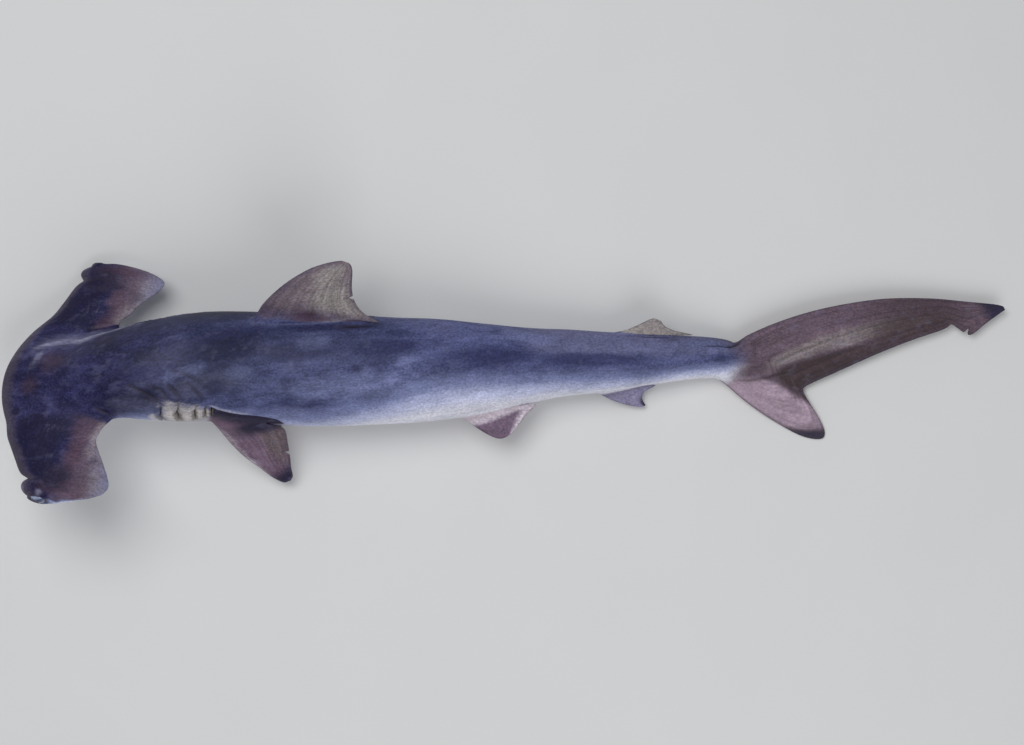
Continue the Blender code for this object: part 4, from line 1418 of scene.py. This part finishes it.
def mark_body(mesh, points, normals, fins):
    """How far down the flank each point lies, and where the body is darker, paler or wrinkled."""
    u, v, _ = points.T
    turn = np.degrees(body_turn(points)[0])
    flank = 0.5 + 0.5 * (turn - flank_line(u)) / FLANK_FADE
    head = 1 - ease(84, 116, u)
    lobe_end = ease(62, 72, u) * ease(106, 111, np.abs(v))
    under_head = ease(0.52, 0.86, 0.5 - 0.5 * normals[:, 2] + 0.2 * lobe_end)
    on_fin = fins * ease(0.0, 0.3, read_mark(mesh, "span"))
    write_mark(mesh, "below", (flank * (1 - head) + under_head * head) * (1 - on_fin))
    write_mark(mesh, "flank", hump(turn, 84, 16) * ease(225, 300, u) * (1 - ease(330, 430, u)) * (1 - fins))
    write_mark(mesh, "dusk", 1.25 * spots(u, turn, DUSKY_PLACES) * (1 - fins))
    write_mark(mesh, "deep_dusk", spots(u, turn, DARKEST_PLACES) * (1 - fins))
    # Painted sheen at the paler places.
    write_mark(mesh, "sheen", spots(u, turn, SHEEN_PLACES) * (1 - fins))
    write_mark(mesh, "wrinkled", spots(u, turn, WRINKLED_PLACES) * (1 - fins))
    shade = 1 + (back_shade(u) - 1) * (1 - ease(62, 98, turn)) * (1 - fins)
    write_mark(mesh, "shade", 0.5 * shade)
    write_mark(mesh, "rump", ease(400, 480, u) * (1 - ease(40, 95, turn)) * (1 - fins))


def mark_colours(mesh, points, normals, fins, tail):
    """All that the skin's colours follow."""
    mark_body(mesh, points, normals, fins)
    mark_gills(mesh, points, fins)
    mark_head(mesh, points, normals)
    mark_paired_fins(mesh, points, normals, fins, tail)
    mark_single_fins(mesh, points)
    mark_tail(mesh, points, tail)
    mark_edges(mesh, fins, tail)


# How softly fins and body are lifted where they would sink into the floor, in square millimetres.
FIN_LIFT = 0.5
BODY_LIFT = 0.06


def above_zero(value, softness):
    """The value where it is above 0 and nearly 0 where it is below, with a soft change between."""
    return 0.5 * (value + np.sqrt(value**2 + softness))


def lay_down(mesh):
    """Carries the straight skin to its pose on the floor, and lifts what would sink into it."""
    points = read_points(mesh)
    posed = pose(points)
    height = posed[:, 2] / MM
    for name, fin in FINS.items():
        mask = read_mark(mesh, name)
        chosen = np.flatnonzero(mask > 0.02)
        root, _, across = fin_frame(fin, points[chosen, 0])
        t = (points[chosen, 1:] - root) @ across
        middle = points[chosen].copy()
        middle[:, 1:] -= t[:, None] * across
        sunk = np.abs(t) - pose(middle)[:, 2] / MM
        height[chosen] += mask[chosen] * above_zero(sunk, FIN_LIFT)
    height = above_zero(height, BODY_LIFT)
    posed[:, 2] = height * MM
    write_points(mesh, posed)


class Socket:
    """A node's output that can be added, multiplied and so on, one Math node for each sum."""

    def __init__(self, finish, socket):
        self.finish = finish
        self.socket = socket

    def sum_with(self, operation, first, second):
        return self.finish.node("ShaderNodeMath", {"operation": operation}, {0: first, 1: second})

    def __add__(self, other):
        return self.sum_with("ADD", self, other)

    def __sub__(self, other):
        return self.sum_with("SUBTRACT", self, other)

    def __mul__(self, other):
        return self.sum_with("MULTIPLY", self, other)

    def __rsub__(self, other):
        return self.sum_with("SUBTRACT", other, self)

    __radd__ = __add__
    __rmul__ = __mul__


class Finish:
    """One material and its nodes."""

    def __init__(self, name):
        self.material = bpy.data.materials.new(name)
        self.material.use_nodes = True
        self.tree = self.material.node_tree
        self.tree.nodes.clear()

    def node(self, kind, settings=None, inputs=None, output=0):
        """A node of this kind, with its settings made first and then its sockets filled or linked."""
        made = self.tree.nodes.new(kind)
        for name, value in (settings or {}).items():
            setattr(made, name, value)
        for name, value in (inputs or {}).items():
            if isinstance(value, Socket):
                self.tree.links.new(value.socket, made.inputs[name])
            else:
                made.inputs[name].default_value = value
        return Socket(self, made.outputs[output]) if made.outputs else None

    def mark(self, name):
        """A value that the mesh carries on its points."""
        return self.node("ShaderNodeAttribute", {"attribute_name": name}, output=2)

    def place(self, name):
        return self.node("ShaderNodeAttribute", {"attribute_name": name}, output=1)

    def stretched(self, vector, scale):
        return self.node("ShaderNodeVectorMath", {"operation": "MULTIPLY"}, {0: vector, 1: scale})

    def scaled(self, colour, share):
        """The colour made lighter or darker."""
        return self.node("ShaderNodeVectorMath", {"operation": "SCALE"}, {0: colour, 3: share})

    def grain(self, vector, scale, detail=3.0, roughness=0.55):
        """Cloudy noise of about 0.3 to 0.7."""
        sizes = {"Vector": vector, "Scale": scale, "Detail": detail, "Roughness": roughness}
        return self.node("ShaderNodeTexNoise", {"noise_dimensions": "3D"}, sizes)

    def step(self, value, low, high):
        """0 below low and 1 above high, and smooth between."""
        ends = {"Value": value, "From Min": low, "From Max": high}
        return self.node("ShaderNodeMapRange", {"interpolation_type": "SMOOTHSTEP"}, ends)

    def blend(self, share, first, second):
        """From the first colour to the second as the share goes from 0 to 1."""
        colours = [(*c, 1) if isinstance(c, tuple) else c for c in (first, second)]
        settings = {"data_type": "RGBA", "clamp_factor": True}
        return self.node("ShaderNodeMix", settings, {0: share, 6: colours[0], 7: colours[1]}, output=2)

    def bump(self, height, distance, strength, under=None):
        inputs = {"Height": height, "Distance": distance, "Strength": strength}
        if under is not None:
            inputs["Normal"] = under
        return self.node("ShaderNodeBump", None, inputs)

    def surface(self, **inputs):
        shader = self.node("ShaderNodeBsdfPrincipled", None, inputs)
        self.node("ShaderNodeOutputMaterial", None, {"Surface": shader})
        return self.material


# Colours of the back, from its dark to its light patches, and of the flank and the belly.
SLATE_DARK = (0.042, 0.050, 0.135)
SLATE = (0.098, 0.112, 0.255)
SLATE_WARM = (0.105, 0.100, 0.185)
CROWN_DARK = (0.010, 0.008, 0.052)
CROWN_BLUE = (0.037, 0.035, 0.122)
FLANK_BLUE = (0.190, 0.220, 0.410)
LAVENDER = (0.555, 0.585, 0.820)
BELLY_PALE = (0.860, 0.865, 0.970)
BELLY_WARM = (0.640, 0.590, 0.690)
WISP = (0.220, 0.225, 0.370)
# The pale streak on the nape ridge, mostly a painted highlight.
RIDGE_PALE_AND_HIGHLIGHT = (0.480, 0.475, 0.680)
BLOTCH = (0.008, 0.005, 0.034)
# The colour of the painted shade in the slits, the mouth, the nostrils and the folds.
SHADE_IN_HOLLOWS = (0.018, 0.012, 0.016)
# Colours of the eye: the iris between its threads and on them, its rim, the pupil and the cloud.
IRIS_DARK = (0.030, 0.042, 0.110)
IRIS_LIGHT = (0.110, 0.150, 0.270)
EYE_RIM = (0.060, 0.075, 0.150)
PUPIL = (0.012, 0.014, 0.030)
CLOUD = (0.52, 0.60, 0.84)

# Layers of colour over the back: the mark that each follows, its colour, how far it covers, and
# how patchy it is.
BODY_LAYERS = (
    ("rump", (0.125, 0.128, 0.235), 0.8, 1.0),
    ("wrinkled", (0.080, 0.082, 0.145), 0.6, 1.4),
    ("dusk", (0.021, 0.024, 0.084), 0.85, 1.0),
    ("deep_dusk", (0.009, 0.011, 0.050), 0.85, 1.0),
    # Painted sheen on the back and the flank.
    ("sheen", (0.135, 0.155, 0.310), 0.7, 1.0),
    ("lobe_dark", (0.006, 0.004, 0.036), 0.88, 0.8),
    ("rim", (0.066, 0.052, 0.080), 0.9, 0.7),
    ("mauve", (0.135, 0.095, 0.140), 1.0, 0.9),
    ("lobe_pale", (0.260, 0.215, 0.250), 1.0, 0.5),
    ("rosy", (0.090, 0.042, 0.072), 0.6, 0.9),
    ("maroon", (0.022, 0.015, 0.042), 0.9, 0.9),
    ("blush", (0.062, 0.036, 0.066), 0.7, 1.1),
    # Pale lid skin with a painted highlight over the eye.
    ("pale_lids_and_highlights", (0.230, 0.210, 0.310), 0.7, 0.8),
)
FIN_LAYERS = (
    ("limb", (0.170, 0.108, 0.160), 1.0, 0.5),
    ("limb_pale", (0.600, 0.520, 0.600), 1.0, 0.8),
    ("olive", (0.130, 0.104, 0.098), 0.7, 1.3),
    ("lilac", (0.235, 0.215, 0.340), 1.0, 0.6),
    ("dorsal", (0.205, 0.162, 0.184), 1.0, 0.9),
    ("dorsal_pale", (0.310, 0.278, 0.268), 0.95, 1.3),
    ("dorsal_root", (0.070, 0.046, 0.088), 0.9, 1.2),
    ("flush", (0.050, 0.020, 0.045), 0.85, 0.9),
    ("tail_mauve", (0.128, 0.084, 0.116), 1.0, 0.6),
    ("tail_lower", (0.430, 0.320, 0.405), 1.0, 0.6),
    ("tail_band", (0.240, 0.202, 0.204), 0.85, 1.3),
    ("tail_under", (0.050, 0.030, 0.033), 0.92, 0.8),
    ("tail_tip", (0.018, 0.014, 0.040), 0.97, 0.3),
    ("inner", (0.420, 0.370, 0.420), 0.8, 0.5),
    # Dark tips of the fins, and painted shade at the pectoral's root.
    ("dark_tips_and_root_shade", (0.010, 0.007, 0.032), 0.97, 0.4),
    # A painted highlight on the lip of the crease over the pectoral.
    ("lip", (0.420, 0.430, 0.600), 0.7, 0.9),
    ("edge", (0.060, 0.045, 0.075), 0.5, 0.3),
)
GILL_LAYERS = (
    ("cream", (0.43, 0.40, 0.41), 0.95, 1.3),
    ("gill_flap", (0.66, 0.61, 0.61), 0.75, 1.2),
    # Yellowish rims of the flaps, and painted shade behind the slits.
    ("gill_rim_and_shade", (0.150, 0.125, 0.085), 0.65, 1.3),
)


def layered(f, colour, layers, patches):
    """The layers one over the other, each broken up by the patches, a noise of about 0.3 to 0.7."""
    for mark, over, cover, patchy in layers:
        share = f.mark(mark) + (patches - 0.5) * (1.5 * patchy)
        share = f.step(share, 0.10, 0.90) * f.step(f.mark(mark), 0.0, 0.3)
        colour = f.blend(share * cover, colour, over)
    return colour


class Mottling:
    """The noises that break up the skin's colours, from broad clouds to fine specks."""

    def __init__(self, f):
        self.place = f.place("straight")
        self.clouds = f.grain(self.place, 24.0, 4.0)
        self.mottle = f.grain(f.stretched(self.place, (0.5, 1.0, 1.0)), 90.0, 4.0, 0.62)
        self.speck = f.grain(self.place, 520.0, 2.0, 0.6)
        self.streaks = f.grain(f.stretched(self.place, (0.12, 1.0, 1.0)), 210.0, 3.0, 0.65)
        self.curls = f.grain(f.stretched(self.place, (0.6, 1.0, 1.0)), 150.0, 3.0, 0.6)
        self.patches = self.clouds * 0.3 + self.mottle * 0.4 + self.streaks * 0.3


def back_and_belly(f, n):
    """The body's own colours: slate and patchy above, with a dark crown, and pale below."""
    tone = f.step(n.patches + (n.speck - 0.5) * 0.45, 0.34, 0.66)
    body = f.blend(tone, SLATE_DARK, SLATE)
    body = f.blend(f.step(n.clouds, 0.5, 0.7) * 0.3, body, SLATE_WARM)
    crown = f.step(n.mottle * 0.5 + n.clouds * 0.2 + n.speck * 0.3, 0.40, 0.66)
    body = f.blend(f.mark("crown"), body, f.blend(crown, CROWN_DARK, CROWN_BLUE))
    body = layered(f, body, BODY_LAYERS, n.mottle)
    body = f.blend(f.mark("flank") * 0.55 * tone, body, FLANK_BLUE)
    body = f.scaled(body, 2 * f.mark("shade"))
    depth = f.mark("below") + (n.clouds - 0.5) * 0.16 + (n.patches - 0.5) * 0.12
    body = f.blend(f.step(depth, 0.0, 0.42), body, FLANK_BLUE)
    body = f.blend(f.step(depth, 0.30, 0.72), body, LAVENDER)
    belly = f.blend(f.step(n.mottle, 0.45, 0.7) * 0.5, BELLY_PALE, BELLY_WARM)
    return f.blend(f.step(depth, 0.60, 1.05), body, belly)


def with_fins_and_gills(f, n, colour):
    """The fins and the gills over the body's colour, and the grit and the fine rays in it."""
    colour = layered(f, colour, FIN_LAYERS, n.patches * 0.7 + n.curls * 0.3)
    colour = layered(f, colour, GILL_LAYERS, n.mottle * 0.6 + n.speck * 0.4)
    grit = f.step(f.grain(f.stretched(n.place, (0.7, 1.0, 1.0)), 640.0, 3.0, 0.7), 0.32, 0.68)
    colour = f.scaled(colour, (0.25 + 1.5 * n.patches) * (0.72 + 0.56 * grit * (1 - 0.5 * f.mark("below"))))
    rays = f.step(f.grain(f.place("rays"), 1.0, 3.0, 0.65), 0.34, 0.66)
    return f.scaled(colour, 1 + (rays - 0.5) * 0.5 * f.mark("rayed"))


def with_wear(f, n, colour):
    """Wisps, scuffs, the pale streak and painted highlight on the ridge, torn blotches and specks over all,
    and painted shade in the hollows.
    """
    wisps = f.step(n.curls, 0.5, 0.68) * f.step(n.clouds * 0.5 + n.mottle * 0.5, 0.42, 0.58)
    scratches = f.grain(f.stretched(n.place, (1.0, 0.22, 0.6)), 260.0, 3.0, 0.6)
    scuffs = f.step(scratches, 0.50, 0.72) * f.step(n.mottle, 0.42, 0.62) * f.mark("scuffed")
    colour = f.blend(wisps * 0.16 + scuffs * 0.42, colour, WISP)
    frayed = 0.3 + 0.7 * f.step(n.streaks * 0.7 + n.mottle * 0.3, 0.40, 0.60)
    # The nape ridge's pale streak, mostly a painted highlight.
    colour = f.blend(f.mark("ridge") * frayed, colour, RIDGE_PALE_AND_HIGHLIGHT)
    torn = (n.mottle * 0.5 + n.curls * 0.5 - 0.5) * 2.2
    blotch = f.step(f.mark("blotch") + torn, 0.34, 0.84) * f.step(f.mark("blotch"), 0, 0.3)
    colour = f.blend(blotch * 0.8, colour, BLOTCH)
    colour = f.blend(f.step(n.speck, 0.50, 0.75) * 0.35 * (1 - 0.7 * f.mark("below")), colour, SLATE_DARK)
    # Painted shade in the slits, the mouth, the nostrils and the folds.
    return f.blend(f.mark("hollow_shade"), colour, SHADE_IN_HOLLOWS)


def make_skin_finish():
    """Damp shark skin: slate back, pale belly, mauve-brown fins, mottled and scuffed all over."""
    f = Finish("shark_skin")
    n = Mottling(f)
    colour = with_wear(f, n, with_fins_and_gills(f, n, back_and_belly(f, n)))
    roughness = 0.42 + 0.22 * n.mottle + 0.10 * n.speck
    fine = f.bump(f.grain(n.place, 1500.0, 2.0, 0.5), 0.00015, 0.5)
    normal = f.bump(n.mottle * 0.6 + n.curls * 0.4, 0.0007, 0.35, fine)
    inputs = {"Base Color": colour, "Roughness": roughness, "Normal": normal}
    inputs |= {"Specular IOR Level": 0.24, "Coat Weight": 0.06, "Coat Roughness": 0.3}
    return f.surface(**inputs)


def make_eye_finish():
    """A glossy eye, clouded pale blue above, with a dark pupil in a silvery iris."""
    f = Finish("shark_eye")
    place = f.place("look")
    threads = f.grain(f.stretched(place, (1.0, 0.3, 1.0)), 5.0, 4.0, 0.7)
    iris = f.blend(f.step(threads, 0.35, 0.65), IRIS_DARK, IRIS_LIGHT)
    colour = f.blend(f.step(f.mark("outward"), 0.62, 0.50), iris, EYE_RIM)
    pupil = f.step(f.mark("pupil"), 0.45, 0.55)
    colour = f.blend(pupil, colour, PUPIL)
    veil = f.mark("cloud") * f.step(f.grain(place, 2.4, 3.0), 0.28, 0.56)
    colour = f.blend(veil * 0.8, colour, CLOUD)
    inputs = {"Base Color": colour, "Roughness": 0.10 + 0.08 * threads}
    inputs |= {"Coat Weight": 1.0, "Coat Roughness": 0.02}
    return f.surface(**inputs)


def make_eye(name, side, finish):
    """An eyeball with a low dome of cornea, set in its socket."""
    bm = bmesh.new()
    bmesh.ops.create_uvsphere(bm, u_segments=64, v_segments=48, radius=1.0)
    mesh = bpy.data.meshes.new(name)
    bm.to_mesh(mesh)
    bm.free()
    out = read_points(mesh)
    angle = np.degrees(np.arccos(np.clip(out[:, 2], -1, 1)))
    radius = EYE_RADIUS * (1 + CORNEA_RISE * hump(angle, 0, CORNEA_REACH))
    local = np.stack([out[:, 0], out[:, 2] * side, out[:, 1] * side], 1) * radius[:, None]
    centre = np.array(EYE_PLACE) * (1, side, 1)
    base = np.repeat(centre[None], len(local), 0)
    write_points(mesh, pose(base) + turned(base, local))
    write_places(mesh, "look", out)
    write_mark(mesh, "outward", out[:, 2])
    write_mark(mesh, "cloud", ease(0.30, 0.66, out[:, 1] * side))
    pupil = 1 - np.hypot(out[:, 0] / PUPIL_HALVES[0], out[:, 1] / PUPIL_HALVES[1])
    write_mark(mesh, "pupil", np.where(out[:, 2] > 0, 0.5 + pupil * 1.2, 0))
    return place_piece(name, mesh, finish)


def place_piece(name, mesh, finish):
    for face in mesh.polygons:
        face.use_smooth = True
    mesh.materials.clear()
    mesh.materials.append(finish)
    piece = bpy.data.objects.new(name, mesh)
    bpy.context.scene.collection.objects.link(piece)
    return piece


# The camera looks straight down on the shark from about two metres.
CAMERA_PLACE = (0.0034, 0.0069, 2.05)
CAMERA_LENS = 83.7
FLOOR_SIZE = 16.0
FLOOR_GREYS = ((0.715, 0.715, 0.715), (0.745, 0.745, 0.745))
SKY_COLOUR = (0.93, 0.96, 1.0, 1)
SKY_STRENGTH = 0.27
# The lights: place, size and power.
KEY_LIGHT = ((-0.6, 0.75, 2.2), 1.3, 25.5)
FILL_LIGHT = ((0.5, -1.5, 1.6), 1.6, 16.5)


def set_stage():
    """A pale floor, a broad soft light above the back, a low fill, and the camera."""
    bpy.ops.mesh.primitive_plane_add(size=FLOOR_SIZE)
    floor = bpy.context.object
    floor.name = "floor"
    paint = Finish("pale_floor")
    place = paint.node("ShaderNodeTexCoord", output=3)
    tone = paint.grain(place, 9.0, 2.0)
    colour = paint.blend(tone, *FLOOR_GREYS)
    floor.data.materials.append(paint.surface(**{"Base Color": colour, "Roughness": 0.75}))
    add_light("key", *KEY_LIGHT)
    add_light("fill", *FILL_LIGHT)
    world = bpy.data.worlds.new("studio")
    world.use_nodes = True
    sky = world.node_tree.nodes["Background"]
    sky.inputs["Color"].default_value = SKY_COLOUR
    sky.inputs["Strength"].default_value = SKY_STRENGTH
    bpy.context.scene.world = world
    bpy.context.scene.view_settings.view_transform = "Standard"
    camera = bpy.data.objects.new("camera", bpy.data.cameras.new("camera"))
    camera.data.lens = CAMERA_LENS
    camera.location = CAMERA_PLACE
    bpy.context.scene.collection.objects.link(camera)
    bpy.context.scene.camera = camera


def add_light(name, place, size, power):
    lamp = bpy.data.lights.new(name, "AREA")
    lamp.size = size
    lamp.energy = power
    light = bpy.data.objects.new(name, lamp)
    light.location = place
    light.rotation_euler = Vector(place).to_track_quat("Z", "Y").to_euler()
    bpy.context.scene.collection.objects.link(light)


def lay_out_skin():
    """The whole layout of the straight shark's skin, from the hammer to the tail's tip."""
    sheet = Layout()
    rings, holes = lay_trunk(sheet, lay_hammer(sheet))
    for name, hole in holes.items():
        lay_fin(sheet, name, rings, hole)
    lay_tail(sheet, rings[-1])
    relax_neck(sheet)
    return sheet


def main():
    set_stage()
    mesh = smooth_skin(lay_out_skin())
    carve(mesh)
    lay_down(mesh)
    skin = place_piece("shark_skin", mesh, make_skin_finish())
    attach(skin, "root")
    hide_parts(*[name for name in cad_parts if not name.startswith("eye_")])
    eye_finish = make_eye_finish()
    for name, side in (("left", 1), ("right", -1)):
        eye = make_eye(f"{name}_eye", side, eye_finish)
        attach(eye, "root")
        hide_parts(f"eye_{name}")


main()
